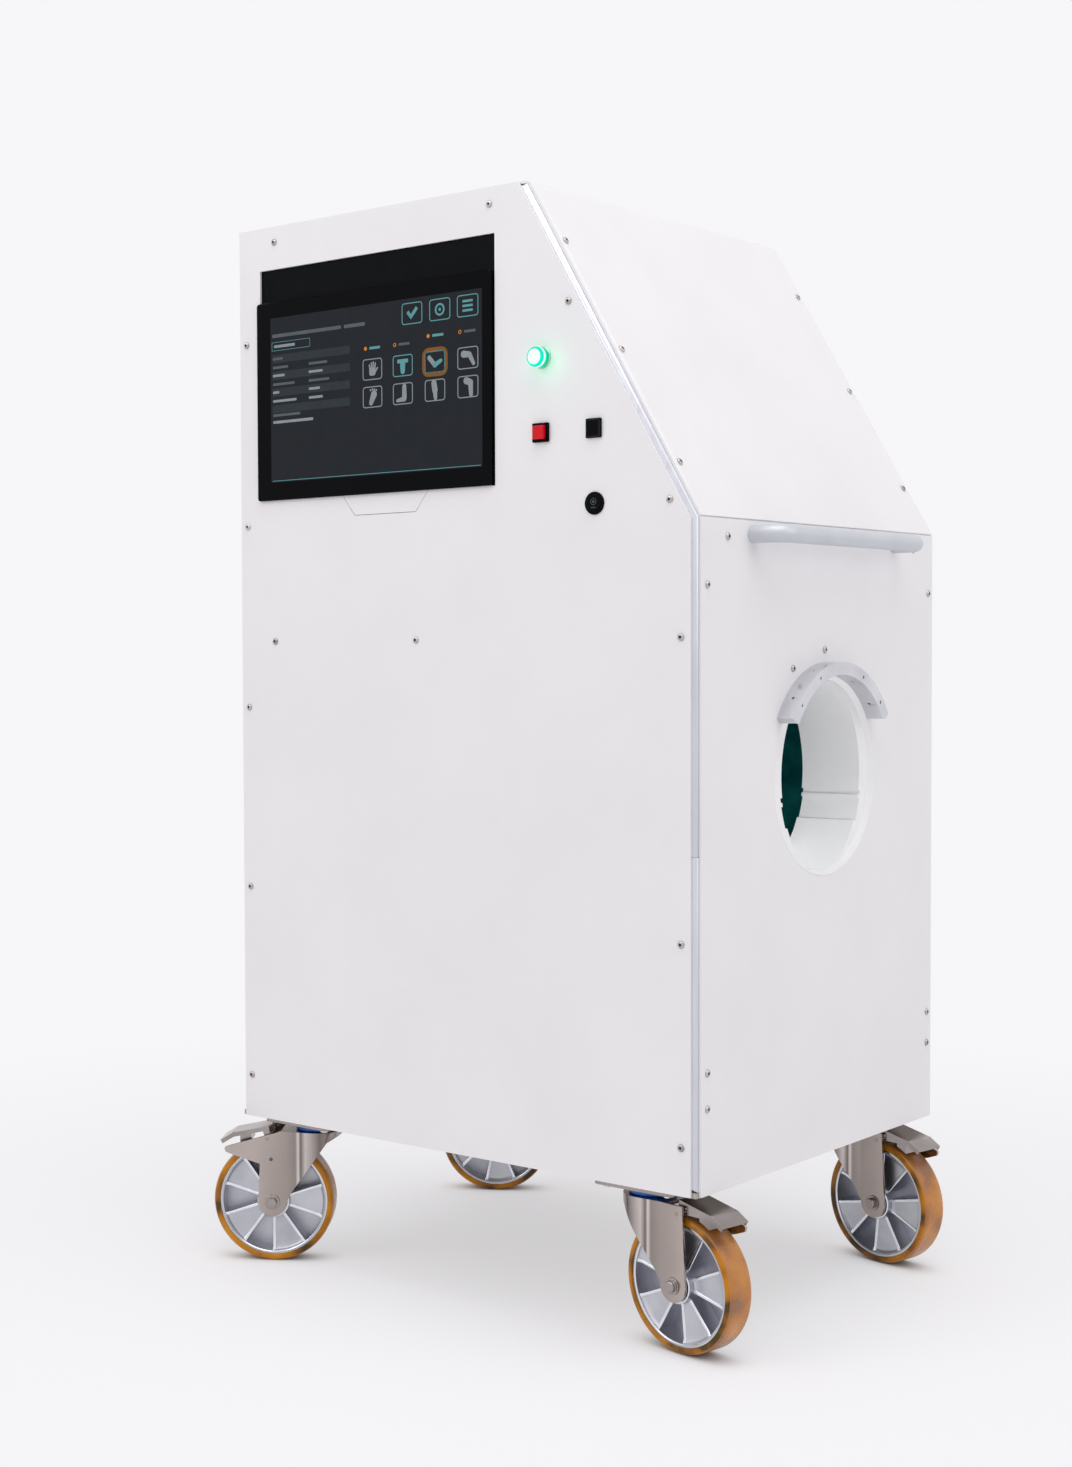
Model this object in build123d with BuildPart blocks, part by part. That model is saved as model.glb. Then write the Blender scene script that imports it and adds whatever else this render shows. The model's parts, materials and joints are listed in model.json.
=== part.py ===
from build123d import *

import math
import os

# A mobile extremity scanner: a white cabinet on four braked swivel casters, with a touch screen
# on its control face (-Y) and a bore for an arm or a leg in its bore face (+X).
# Millimetres, +Z up, the floor at Z = 0, the origin under the middle of the whole outline.

os.makedirs("parts", exist_ok=True)

# Cabinet
cabinet_width = 895.0
cabinet_depth = 723.0
cabinet_height = 1462.0
fold_height = 958.0
slope_run = 297.0
panel_thickness = 4.0
panel_reveal = 11.5
panel_seam = 1.2
base_reveal = 1.0
base_plate_thickness = 8.0

# Frame of slotted aluminium profile
profile_size = 45.0
profile_round = 7.0
slot_width = 10.0
slot_depth = 14.0
seam_height = 481.0
seam_gap = 0.3
mid_rail_height = 789.0
bend_rail_length = 67.5
bend_rail_height = 58.5

# Panel screws: columns on the uprights, rows on the cross rails, two above the bore
screw_head_diameter = 11.0
screw_head_height = 3.0
screw_shank_diameter = 6.0
screw_length = 16.0
screw_hole_clearance = 0.3
screw_sides = 10
column_start = 384.0
column_pitch = 297.0
column_steps = 4
foot_screw_height = 70.0
upper_screw_height = 862.0
pair_screw_heights = (124.0, 175.0)
top_screw_insets = (90.0, 532.0)
middle_screw_insets = (87.0, 386.0)
fold_screw_spread = 563.0
slope_screw_start = 90.0
slope_screw_pitch = 194.0
edge_screw_places = (36.0, 378.0)
ring_screw_circle = 190.0
ring_screw_angles = (91.5, 121.5)

# Screen
screen_opening_width = 484.0
screen_opening_height = 374.0
screen_opening_left = 57.5
screen_opening_sill = 1018.0
monitor_width = 484.0
monitor_height = 320.0
monitor_shift = -3.0
monitor_proud = 6.0
monitor_depth = 42.0
monitor_case_inset = 5.0
monitor_back_margin = 8.0
monitor_back_thickness = 3.0
monitor_corner = 5.0
glass_edge = 1.0
tab_width = 176.0
tab_drop = 32.0
tab_slant = 25.0
tab_middle = 236.0
tab_gap = 0.8

# Controls, placed from the bore face and the underside
lamp_inset = 266.0
lamp_height = 1199.0
lamp_diameter = 30.0
lamp_proud = 20.0
lamp_bezel_height = 3.0
lamp_bezel_diameter = 32.0
lamp_lens_round = 2.0
lamp_barrel_diameter = 22.0
lamp_barrel_length = 34.0
red_inset = 267.0
red_height = 1090.0
red_bezel = 28.0
red_bezel_proud = 5.0
red_cap = 20.0
red_cap_proud = 11.0
red_travel = 3.0
insert_inset = 173.0
insert_height = 1090.0
insert_width = 26.0
insert_tall = 28.0
insert_proud = 4.0
insert_window = 15.6
insert_window_depth = 1.0
round_inset = 172.5
round_height = 982.5
round_diameter = 33.0
round_bezel_proud = 3.0
round_cap_diameter = 25.0
round_cap_proud = 4.0
round_travel = 2.0
round_barrel_wall = 1.0
button_clearance = 0.3
switch_body = 22.0
switch_depth = 30.0
switch_corner = 1.5
cap_edge = 1.0

# Bore
bore_height = 581.0
bore_hole_radius = 154.0
bore_lip_radius = 146.0
bore_lip_depth = 8.0
liner_half_width = 119.0
liner_half_height = 145.0
liner_depth = 100.0
liner_top_wall = 6.0
liner_side_wall = 11.0
liner_flange_radius = 206.0
liner_flange_thickness = 8.0
liner_land = 1.0
seat_gap = 0.3
groove_top = -30.0
groove_height = 46.0
groove_depth = 7.0
rail_thickness = 2.0
rail_rib_drop = 7.0
rail_rib_height = 6.0
collar_inner_radius = 152.0
collar_outer_radius = 171.0
collar_depth = 28.0
collar_cut_height = 82.0
collar_corner = 12.0
collar_hole_radius = 2.5
collar_hole_depth = 16.8
collar_inner_angle = 24.0
collar_outer_angle = 48.0
collar_side_hole_radius = 2.1
collar_side_angles = (22.0, 46.0)

# Push handle
handle_diameter = 26.5
handle_spread = 430.0
handle_stand_off = 47.0
handle_bend = 26.0
handle_height = 937.0

# Magnet and coil former
former_radius = 153.0
former_wall = 6.0
former_start = 45.0
former_length = 470.0
former_end_wall = 6.0
ring_count = 8
ring_thickness = 36.0
ring_gap = 14.0
ring_outer_radius = 272.0
ring_flats = 16
magnet_start = 75.0
rod_count = 6
rod_radius = 6.0
rod_circle = 250.0
rod_clearance = 0.1
cradle_plate = 12.0
cradle_gap = 0.3
cradle_foot_height = 60.0
cradle_foot_overlap = 30.0
cradle_waist = 380.0

# Inner equipment, in the bay behind the magnet
bay_gap = 10.0
shelf_sheet = 3.0
shelf_lip = 25.0
shelf_bearing = 30.0
console_height = 180.0
console_depth = 440.0
console_margin = 12.0
console_corner = 6.0
console_edge = 2.0
amplifier_height = 260.0
amplifier_depth = 430.0
fin_depth = 24.0
fin_pitch = 28.0
fin_thickness = 6.0

# Ventilation slots and mains inlet in the side panel
vent_columns = 3
vent_rows = 8
vent_length = 110.0
vent_width = 7.0
vent_pitch = 18.0
vent_column_pitch = 143.0
vent_height = 330.0
inlet_height = 95.0
inlet_width = 48.0
inlet_tall = 28.0
inlet_flange = 5.0
inlet_corner = 4.0
inlet_depth = 28.0

# Casters
build_height = 235.0
wheel_diameter = 200.0
wheel_width = 50.0
tyre_thickness = 10.0
tyre_round = 8.0
tyre_seat_gap = 0.1
rim_thickness = 6.0
rim_width = 45.0
web_thickness = 4.0
web_spread = 32.0
web_pairs = 5
web_overlap = 2.0
spoke_thickness = 5.0
hub_diameter = 54.0
hub_length = 58.0
caster_trail = 70.0
caster_inset_x = 115.0
caster_inset_y = 62.0
plate_length = 140.0
plate_breadth = 110.0
plate_thickness = 6.0
plate_corner = 12.0
bolt_spacing_x = 105.0
bolt_spacing_y = 80.0
bolt_radius = 5.0
bolt_head_radius = 8.75
bolt_head_height = 5.0
bolt_clearance = 0.1
seal_height = 12.0
seal_diameter = 70.0
seal_bore = 50.0
seal_gap = 0.3
seal_edge = 2.0
kingpin_radius = 10.0
kingpin_head_radius = 16.0
kingpin_head_height = 4.0
running_clearance = 0.05
fork_sheet = 4.0
fork_crown = 5.0
fork_inner_width = 61.0
drum_radius = 43.0
cheek_end_radius = 24.0
cheek_front = 31.7
cheek_front_rise = 16.0
cheek_shoulder = 91.2
cheek_shoulder_rise = 100.0
cheek_rear = 18.0
cheek_hole_radius = 3.0
cheek_hole_behind = 2.0
cheek_hole_drop = 46.0
drum_front_drop = 6.0
crown_reach = 56.0
wing_reach = 81.0
wing_drop = 27.0
wing_end = 78.0
wing_end_drop = 35.0
wing_heel = 62.0
wing_heel_drop = 41.0
wing_root = 20.8
wing_root_drop = 54.0
wing_corner = 4.0
axle_radius = 6.0
sleeve_radius = 10.0
axle_head_radius = 8.5
axle_head_height = 7.0
washer_radius = 12.5
washer_thickness = 2.0
pedal_width = 55.0
pedal_sheet = 3.0
pedal_flange = 7.0
pedal_pin_radius = 3.0
pedal_pin_behind = 8.0
pedal_pin_height = 205.0
pedal_ear_edge = 2.0
pedal_front = 7.0
pedal_front_rise = 7.5
pedal_knee = 68.0
pedal_knee_drop = 5.0
pedal_knee_radius = 14.0
pedal_lip = 88.0
pedal_lip_drop = 17.0
skirt_start = 22.0
skirt_length = 33.0
skirt_drop = 12.0
skirt_corner = 3.0
shoe_start = 38.0
shoe_length = 18.0
shoe_width = 40.0
shoe_gap = 5.0

# Directions of the machine's far side and its front, from +X
side_direction = 180.0
front_direction = 270.0

# Trail direction of each caster as it stands, from +X
trail_angles = {
    "bore_front": -9.6,
    "bore_rear": -11.2,
    "side_front": 214.0,
    "side_rear": 214.0,
}
spoke_angles = {
    "bore_front": 12.0,
    "bore_rear": 24.0,
    "side_front": 18.0,
    "side_rear": 6.0,
}


def tyre_reach(trail_angle, toward):
    """Distance from a swivel axis to its tyre's outermost point in one direction."""
    turn = math.radians(trail_angle - toward)
    radial = (wheel_diameter / 2 - tyre_round) * abs(math.cos(turn))
    sideways = (wheel_width / 2 - tyre_round) * abs(math.sin(turn))
    return caster_trail * math.cos(turn) + radial + sideways + tyre_round


# Cabinet planes, from the outermost points: the handle, the side casters' tyres and the rear screws
reach_out = handle_stand_off + handle_diameter / 2
reach_side = cabinet_width - caster_inset_x + tyre_reach(trail_angles["side_front"], side_direction)
reach_front = tyre_reach(trail_angles["side_front"], front_direction) - caster_inset_y
x_bore = (reach_side - reach_out) / 2
x_side = x_bore - cabinet_width
y_control = (reach_front - cabinet_depth - screw_head_height) / 2
y_back = y_control + cabinet_depth
y_middle = (y_control + y_back) / 2
z_base = build_height
z_floor_plate = z_base + base_plate_thickness
z_top = z_base + cabinet_height
z_fold = z_base + fold_height
z_bore = z_base + bore_height
x_apex = x_bore - slope_run
slope_rise = z_top - z_fold
slope_length = math.hypot(slope_run, slope_rise)
rail_centre = panel_thickness + profile_size / 2
slope_screw_room = slope_length - slope_screw_start - rail_centre
slope_screw_steps = int(slope_screw_room // slope_screw_pitch) + 1
rail_inner = panel_thickness + profile_size

slope_plane = Plane(
    origin=(x_bore, y_middle, z_fold),
    x_dir=(0, 1, 0),
    z_dir=(slope_rise, 0, slope_run),
)
bore_plane = Plane(origin=(x_bore, y_middle, z_bore), x_dir=(0, 1, 0), z_dir=(1, 0, 0))


def across(y):
    """Plane of the cabinet's side outline at the given Y, X to the right and Z up."""
    return Plane.XZ.offset(-y)


def side_outline(plane, inset, foot, head):
    """Five-sided outline of the cabinet, moved in by inset, between a foot and a head height."""
    rise = head + inset - z_top
    apex = x_apex - rise * slope_run / slope_rise
    with BuildSketch(plane) as outline:
        with BuildLine():
            Polyline(
                (x_side, foot - inset),
                (x_bore, foot - inset),
                (x_bore, z_fold),
                (apex, z_top + rise),
                (x_side, z_top + rise),
                close=True,
            )
        make_face()
        offset(amount=-inset, kind=Kind.INTERSECTION)
    return outline.sketch


def finish(piece, label):
    """Label a finished sub-part and write it to its own file."""
    piece.label = label
    export_step(piece, f"parts/{label}.step")


# Frame: two side rings of mitred profile joined by cross rails


def side_ring(plane, outer, inner):
    """Band of the side outline between two insets, along the foot too."""
    foot = z_floor_plate - panel_thickness
    band = side_outline(plane, outer, foot + outer, z_top - outer)
    return band - side_outline(plane, inner, foot + inner, z_top - inner)


with BuildPart() as frame:
    ring_plane = across(y_control + rail_inner)
    extrude(side_ring(ring_plane, panel_thickness, rail_inner), amount=profile_size)
    with BuildSketch(ring_plane):
        with Locations(((x_bore + x_side) / 2, z_base + mid_rail_height)):
            Rectangle(cabinet_width - 2 * rail_inner, profile_size)
    extrude(amount=profile_size)
    outer_face = frame.faces().sort_by(Axis.Y)[0]
    fillet(outer_face.outer_wire().edges(), profile_round)
    slot_half = slot_width / 2
    slot_ring = side_ring(
        across(y_control + panel_thickness + slot_depth),
        rail_centre - slot_half,
        rail_centre + slot_half,
    )
    extrude(slot_ring, amount=slot_depth, mode=Mode.SUBTRACT)
    with BuildSketch(across(y_control + panel_thickness + slot_depth)):
        with Locations(((x_bore + x_side) / 2, z_base + mid_rail_height)):
            Rectangle(cabinet_width - 2 * rail_centre, slot_width)
    extrude(amount=slot_depth, mode=Mode.SUBTRACT)
    edge_slot = side_ring(
        across(y_control + rail_centre + slot_half),
        panel_thickness,
        panel_thickness + slot_depth,
    )
    extrude(edge_slot, amount=slot_width, mode=Mode.SUBTRACT)
    mirror(about=Plane.XZ.offset(-y_middle))
    rail_span = cabinet_depth - 2 * rail_inner
    with BuildSketch(across(y_middle)):
        for x in (x_bore - rail_centre, x_side + rail_centre):
            with Locations((x, z_floor_plate + profile_size / 2)):
                Rectangle(profile_size, profile_size)
        with Locations((x_side + rail_centre, z_base + mid_rail_height)):
            Rectangle(profile_size, profile_size)
        with Locations((x_side + rail_centre, z_top - rail_centre)):
            Rectangle(profile_size, profile_size)
    extrude(amount=rail_span / 2, both=True)
    corner_band = side_ring(across(y_middle), panel_thickness, rail_inner)
    slot_back = panel_thickness + slot_depth / 2
    for corner in ((x_bore - rail_centre, z_fold), (x_apex, z_top - rail_centre)):
        with BuildSketch(across(y_middle)):
            with Locations(corner):
                Rectangle(bend_rail_length, bend_rail_height)
            add(corner_band, mode=Mode.INTERSECT)
        extrude(amount=rail_span / 2, both=True)
    with BuildSketch(across(y_middle)):
        with Locations(
            (x_bore - slot_back, z_floor_plate + profile_size / 2),
            (x_bore - slot_back, z_fold - rail_centre),
            (x_side + slot_back, z_floor_plate + profile_size / 2),
            (x_side + slot_back, z_base + mid_rail_height),
            (x_side + slot_back, z_top - rail_centre),
        ):
            Rectangle(slot_depth, slot_width)
    extrude(amount=rail_span / 2, both=True, mode=Mode.SUBTRACT)

with BuildPart() as lower_frame:
    add(frame.part)
    split(bisect_by=Plane.XY.offset(z_base + seam_height - seam_gap), keep=Keep.BOTTOM)
finish(lower_frame.part, "lower_frame")

with BuildPart() as upper_frame:
    add(frame.part)
    split(bisect_by=Plane.XY.offset(z_base + seam_height), keep=Keep.TOP)
finish(upper_frame.part, "upper_frame")

# Panel screw places, in the plane of each outer face


def face_columns(half_width, heights):
    """Both columns of screws of a face, at the given heights above the underside."""
    return [(side * half_width, height) for side in (-1, 1) for height in heights]


column_heights = [column_start + step * column_pitch for step in range(column_steps)]
edge_back = rail_centre * math.tan(math.atan2(slope_run, slope_rise) / 2)
control_places = [
    (x_side + rail_centre, z_base + height) for height in (foot_screw_height, *column_heights)
]
control_places += [
    (x_bore - rail_centre, z_base + height)
    for height in (foot_screw_height, column_start - rail_centre, mid_rail_height)
]
control_places += [(x_side + inset, z_top - rail_centre) for inset in top_screw_insets]
control_places += [(x_side + inset, z_base + mid_rail_height) for inset in middle_screw_insets]
slope_x = -slope_run / slope_length
slope_z = slope_rise / slope_length
control_places += [
    (
        x_bore - rail_centre + place * slope_x,
        z_fold - edge_back + place * slope_z,
    )
    for place in edge_screw_places
]
rear_places = [(-x, z) for x, z in control_places]

column_half = cabinet_depth / 2 - rail_centre
bore_places = face_columns(column_half, (*pair_screw_heights, upper_screw_height))
bore_places += [
    (side * fold_screw_spread / 2, fold_height - rail_centre) for side in (-1, 1)
]
bore_places += [
    (
        ring_screw_circle * math.cos(math.radians(angle)),
        bore_height + ring_screw_circle * math.sin(math.radians(angle)),
    )
    for angle in ring_screw_angles
]
side_places = face_columns(column_half, (foot_screw_height, *column_heights))
slope_places = face_columns(
    column_half,
    [slope_screw_start + step * slope_screw_pitch for step in range(slope_screw_steps)],
)
top_places = [
    (inset, side * column_half) for side in (-1, 1) for inset in top_screw_insets
]

control_face = across(y_control)
rear_face = Plane(origin=(0, y_back, 0), x_dir=(-1, 0, 0), z_dir=(0, 1, 0))
bore_face = Plane(origin=(x_bore, y_middle, z_base), x_dir=(0, 1, 0), z_dir=(1, 0, 0))
side_face = Plane(origin=(x_side, y_middle, z_base), x_dir=(0, -1, 0), z_dir=(-1, 0, 0))
top_face = Plane(origin=(x_side, y_middle, z_top), x_dir=(1, 0, 0), z_dir=(0, 0, 1))
screwed_faces = (
    (control_face, control_places),
    (rear_face, rear_places),
    (bore_face, bore_places),
    (side_face, side_places),
    (slope_plane, slope_places),
    (top_face, top_places),
)

with BuildPart() as panel_screws:
    for face, places in screwed_faces:
        with BuildSketch(face) as heads:
            with Locations(*places):
                RegularPolygon(screw_head_diameter / 2, screw_sides)
        extrude(heads.sketch, amount=screw_head_height)
        with BuildSketch(face) as shanks:
            with Locations(*places):
                RegularPolygon(screw_shank_diameter / 2, screw_sides)
        extrude(shanks.sketch, amount=-screw_length)
finish(panel_screws.part, "panel_screws")


# Panels, laid on the frame


def screw_holes(face, places):
    """Cut the screw holes of one panel."""
    with BuildSketch(face) as holes:
        with Locations(*places):
            Circle(screw_shank_diameter / 2 + screw_hole_clearance)
    extrude(holes.sketch, amount=-panel_thickness, mode=Mode.SUBTRACT)


panel_foot = z_base + base_reveal
panel_head = z_top - panel_seam
slope_foot_drop = (panel_thickness * slope_run - panel_seam * slope_rise) / slope_length
slope_head_back = (panel_thickness * slope_rise - panel_seam * slope_run) / slope_length
opening_x = x_side + screen_opening_left + screen_opening_width / 2
opening_z = z_base + screen_opening_sill + screen_opening_height / 2
opening_sill = z_base + screen_opening_sill
tab_x = x_side + tab_middle + tab_width / 2
lamp_place = (x_bore - lamp_inset, z_base + lamp_height)
red_place = (x_bore - red_inset, z_base + red_height)
insert_place = (x_bore - insert_inset, z_base + insert_height)
round_place = (x_bore - round_inset, z_base + round_height)


def tab_outline(gap):
    """Trapezoid under the screen opening, smaller than its notch by the gap all round."""
    half = tab_width / 2 - gap
    low_half = half - tab_slant
    with BuildSketch(control_face) as shape:
        Polygon(
            (tab_x - half, opening_sill),
            (tab_x - low_half, opening_sill - tab_drop + gap),
            (tab_x + low_half, opening_sill - tab_drop + gap),
            (tab_x + half, opening_sill),
            align=None,
        )
        fillet(shape.vertices().group_by(Axis.Y)[0], monitor_corner)
    return shape.sketch


with BuildPart() as control_panel:
    front_outline = side_outline(control_face, panel_reveal, panel_foot, panel_head)
    extrude(front_outline, amount=-panel_thickness)
    with BuildSketch(control_face):
        with Locations((opening_x, opening_z)):
            Rectangle(screen_opening_width, screen_opening_height)
        with Locations(lamp_place):
            Circle(lamp_barrel_diameter / 2 + seat_gap)
        with Locations(red_place, insert_place):
            Rectangle(switch_body + 2 * seat_gap, switch_body + 2 * seat_gap)
        with Locations(round_place):
            Circle(round_cap_diameter / 2 + 2 * seat_gap + round_barrel_wall)
    extrude(amount=-panel_thickness, mode=Mode.SUBTRACT)
    extrude(tab_outline(0), amount=-panel_thickness, mode=Mode.SUBTRACT)
    screw_holes(control_face, control_places)
finish(control_panel.part, "control_panel")

with BuildPart() as screen_tab:
    extrude(tab_outline(tab_gap), amount=-panel_thickness)
finish(screen_tab.part, "screen_tab")

with BuildPart() as back_panel:
    back_inner = across(y_back - panel_thickness)
    back_outline = side_outline(back_inner, panel_reveal, panel_foot, panel_head)
    extrude(back_outline, amount=-panel_thickness)
    screw_holes(rear_face, rear_places)
finish(back_panel.part, "back_panel")


def upright_panel(face, foot, head):
    """Rectangular panel on a face of the cabinet, from foot to head along its own Y."""
    with BuildSketch(face) as sheet:
        with Locations((0, (foot + head) / 2)):
            Rectangle(cabinet_depth - 2 * panel_reveal, head - foot)
    extrude(sheet.sketch, amount=-panel_thickness)


with BuildPart() as bore_panel:
    upright_panel(bore_face, base_reveal, fold_height - slope_foot_drop - seat_gap)
    with BuildSketch(bore_plane):
        Circle(bore_hole_radius)
    extrude(amount=-panel_thickness, mode=Mode.SUBTRACT)
    screw_holes(bore_face, bore_places)
finish(bore_panel.part, "bore_panel")

with BuildPart() as side_panel:
    upright_panel(side_face, base_reveal, cabinet_height - panel_seam)
    with BuildSketch(side_face):
        with Locations((0, vent_height)):
            with GridLocations(vent_column_pitch, vent_pitch, vent_columns, vent_rows):
                SlotOverall(vent_length, vent_width)
        with Locations((0, inlet_height)):
            Rectangle(inlet_width + 2 * seat_gap, inlet_tall + 2 * seat_gap)
    extrude(amount=-panel_thickness, mode=Mode.SUBTRACT)
    screw_holes(side_face, side_places)
finish(side_panel.part, "side_panel")

with BuildPart() as slope_panel:
    upright_panel(slope_plane, panel_seam, slope_length - panel_seam)
    screw_holes(slope_plane, slope_places)
finish(slope_panel.part, "slope_panel")

with BuildPart() as top_panel:
    top_edge = panel_thickness + panel_seam
    top_length = cabinet_width - slope_run - top_edge - slope_head_back - panel_seam
    with BuildSketch(top_face):
        with Locations((top_edge + top_length / 2, 0)):
            Rectangle(top_length, cabinet_depth - 2 * top_edge)
    extrude(amount=-panel_thickness)
    screw_holes(top_face, top_places)
finish(top_panel.part, "top_panel")

swivel_axes = {
    "bore_front": (x_bore - caster_inset_x, y_control + caster_inset_y),
    "bore_rear": (x_bore - caster_inset_x, y_back - caster_inset_y),
    "side_front": (x_side + caster_inset_x, y_control + caster_inset_y),
    "side_rear": (x_side + caster_inset_x, y_back - caster_inset_y),
}

with BuildPart() as base_plate:
    with BuildSketch(Plane.XY.offset(z_base)):
        with Locations(((x_bore + x_side) / 2, y_middle)):
            Rectangle(cabinet_width - 2 * panel_thickness, cabinet_depth - 2 * panel_thickness)
        with Locations(*swivel_axes.values()):
            with GridLocations(bolt_spacing_x, bolt_spacing_y, 2, 2):
                Circle(bolt_radius + bolt_clearance, mode=Mode.SUBTRACT)
    extrude(amount=base_plate_thickness)
finish(base_plate.part, "base_plate")

# Screen: a glass front proud of the control face, and the case and back plate behind it

monitor_x = opening_x + monitor_shift
monitor_z = opening_sill + monitor_height / 2

with BuildPart() as monitor_glass:
    with BuildSketch(control_face):
        with Locations((monitor_x, monitor_z)):
            RectangleRounded(monitor_width, monitor_height, monitor_corner)
    extrude(amount=monitor_proud)
    front_rim = monitor_glass.faces().sort_by(Axis.Y)[0].outer_wire().edges()
    chamfer(front_rim, glass_edge)
finish(monitor_glass.part, "monitor_glass")

with BuildPart() as monitor_housing:
    case_width = screen_opening_width - 2 * monitor_case_inset
    case_height = monitor_height - 2 * monitor_case_inset
    with BuildSketch(control_face):
        with Locations((opening_x, monitor_z)):
            RectangleRounded(case_width, case_height, monitor_corner)
    extrude(amount=-monitor_depth)
    case_back = monitor_housing.faces().sort_by(Axis.Y)[-1].outer_wire().edges()
    chamfer(case_back, monitor_corner)
    with BuildSketch(across(y_control + panel_thickness)):
        with Locations((opening_x, opening_z)):
            Rectangle(
                screen_opening_width + 2 * monitor_back_margin,
                screen_opening_height + 2 * monitor_back_margin,
            )
    extrude(amount=-monitor_back_thickness)
finish(monitor_housing.part, "monitor_housing")

# Lamp and buttons on the control face

with BuildPart() as lamp_base:
    with BuildSketch(control_face):
        with Locations(lamp_place):
            Circle(lamp_bezel_diameter / 2)
    extrude(amount=lamp_bezel_height)
    with BuildSketch(control_face):
        with Locations(lamp_place):
            Circle(lamp_barrel_diameter / 2)
    extrude(amount=-lamp_barrel_length)
    with BuildSketch(across(y_control + panel_thickness)):
        with Locations(lamp_place):
            RegularPolygon(lamp_diameter / 2, 6)
    extrude(amount=-lamp_bezel_height)
finish(lamp_base.part, "lamp_base")

with BuildPart() as lamp_lens:
    with BuildSketch(control_face.offset(lamp_bezel_height)):
        with Locations(lamp_place):
            Circle(lamp_diameter / 2)
    extrude(amount=lamp_proud - lamp_bezel_height)
    lens_rim = lamp_lens.faces().sort_by(Axis.Y)[0].outer_wire().edges()
    fillet(lens_rim, lamp_lens_round)
finish(lamp_lens.part, "lamp_lens")


def square_switch(place, width, tall, proud, well):
    """Square switch: its bezel on the panel, its body behind, and a well for its cap."""
    with BuildSketch(control_face) as bezel:
        with Locations(place):
            RectangleRounded(width, tall, switch_corner)
    extrude(bezel.sketch, amount=proud)
    with BuildSketch(control_face) as body:
        with Locations(place):
            Rectangle(switch_body, switch_body)
    extrude(body.sketch, amount=-switch_depth)
    with BuildSketch(control_face.offset(proud)) as opening:
        with Locations(place):
            Rectangle(well, well)
    return opening.sketch


with BuildPart() as red_button_bezel:
    red_well = square_switch(
        red_place, red_bezel, red_bezel, red_bezel_proud, red_cap + 2 * button_clearance
    )
    red_well_depth = red_bezel_proud + red_travel + seat_gap
    extrude(red_well, amount=-red_well_depth, mode=Mode.SUBTRACT)
finish(red_button_bezel.part, "red_button_bezel")

with BuildPart() as red_button_cap:
    with BuildSketch(control_face):
        with Locations(red_place):
            RectangleRounded(red_cap, red_cap, switch_corner)
    extrude(amount=red_cap_proud)
    cap_rim = red_button_cap.faces().sort_by(Axis.Y)[0].outer_wire().edges()
    chamfer(cap_rim, cap_edge)
finish(red_button_cap.part, "red_button_cap")

with BuildPart() as black_insert:
    window = square_switch(insert_place, insert_width, insert_tall, insert_proud, insert_window)
    extrude(window, amount=-insert_window_depth, mode=Mode.SUBTRACT)
finish(black_insert.part, "black_insert")

with BuildPart() as round_button_bezel:
    with BuildSketch(control_face):
        with Locations(round_place):
            Circle(round_diameter / 2)
    extrude(amount=round_bezel_proud)
    bezel_rim = round_button_bezel.faces().sort_by(Axis.Y)[0].outer_wire().edges()
    fillet(bezel_rim, switch_corner)
    with BuildSketch(control_face):
        with Locations(round_place):
            Circle(round_cap_diameter / 2 + button_clearance + round_barrel_wall)
    extrude(amount=-switch_depth)
    with BuildSketch(control_face.offset(round_bezel_proud)):
        with Locations(round_place):
            Circle(round_cap_diameter / 2 + button_clearance)
    round_well_depth = round_bezel_proud + round_travel + seat_gap
    extrude(amount=-round_well_depth, mode=Mode.SUBTRACT)
finish(round_button_bezel.part, "round_button_bezel")

with BuildPart() as round_button_cap:
    with BuildSketch(control_face):
        with Locations(round_place):
            Circle(round_cap_diameter / 2)
    extrude(amount=round_cap_proud)
    round_rim = round_button_cap.faces().sort_by(Axis.Y)[0].outer_wire().edges()
    fillet(round_rim, cap_edge)
finish(round_button_cap.part, "round_button_cap")

# Push handle: one bent tube whose legs seat on the bore panel

with BuildPart() as push_handle:
    grip_x = x_bore + handle_stand_off
    half_spread = handle_spread / 2
    with BuildLine(Plane.XY.offset(z_base + handle_height)) as route:
        FilletPolyline(
            (x_bore, y_middle - half_spread),
            (grip_x, y_middle - half_spread),
            (grip_x, y_middle + half_spread),
            (x_bore, y_middle + half_spread),
            radius=handle_bend,
        )
    leg_plane = Plane(
        origin=(x_bore, y_middle - half_spread, z_base + handle_height), z_dir=(1, 0, 0)
    )
    with BuildSketch(leg_plane):
        Circle(handle_diameter / 2)
    sweep(path=route.wires()[0])
finish(push_handle.part, "push_handle")

# Bore: the liner with its side grooves, two guide rails in them, and the collar round its top


def liner_ellipse(plane, grow_side, grow_top):
    """Upright oval of the bore, grown at its sides and at its top and bottom."""
    with BuildSketch(plane) as oval:
        Ellipse(liner_half_width + grow_side, liner_half_height + grow_top)
    return oval.sketch


def groove_band(top, height):
    """Level band across the bore, its top measured from the bore's centre."""
    with BuildSketch(bore_plane.offset(-bore_lip_depth)) as band:
        with Locations((0, top - height / 2)):
            Rectangle(2 * bore_hole_radius, height)
    return band.sketch


lip_plane = bore_plane.offset(-bore_lip_depth)
groove_oval = liner_ellipse(lip_plane, groove_depth, groove_depth)

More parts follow.
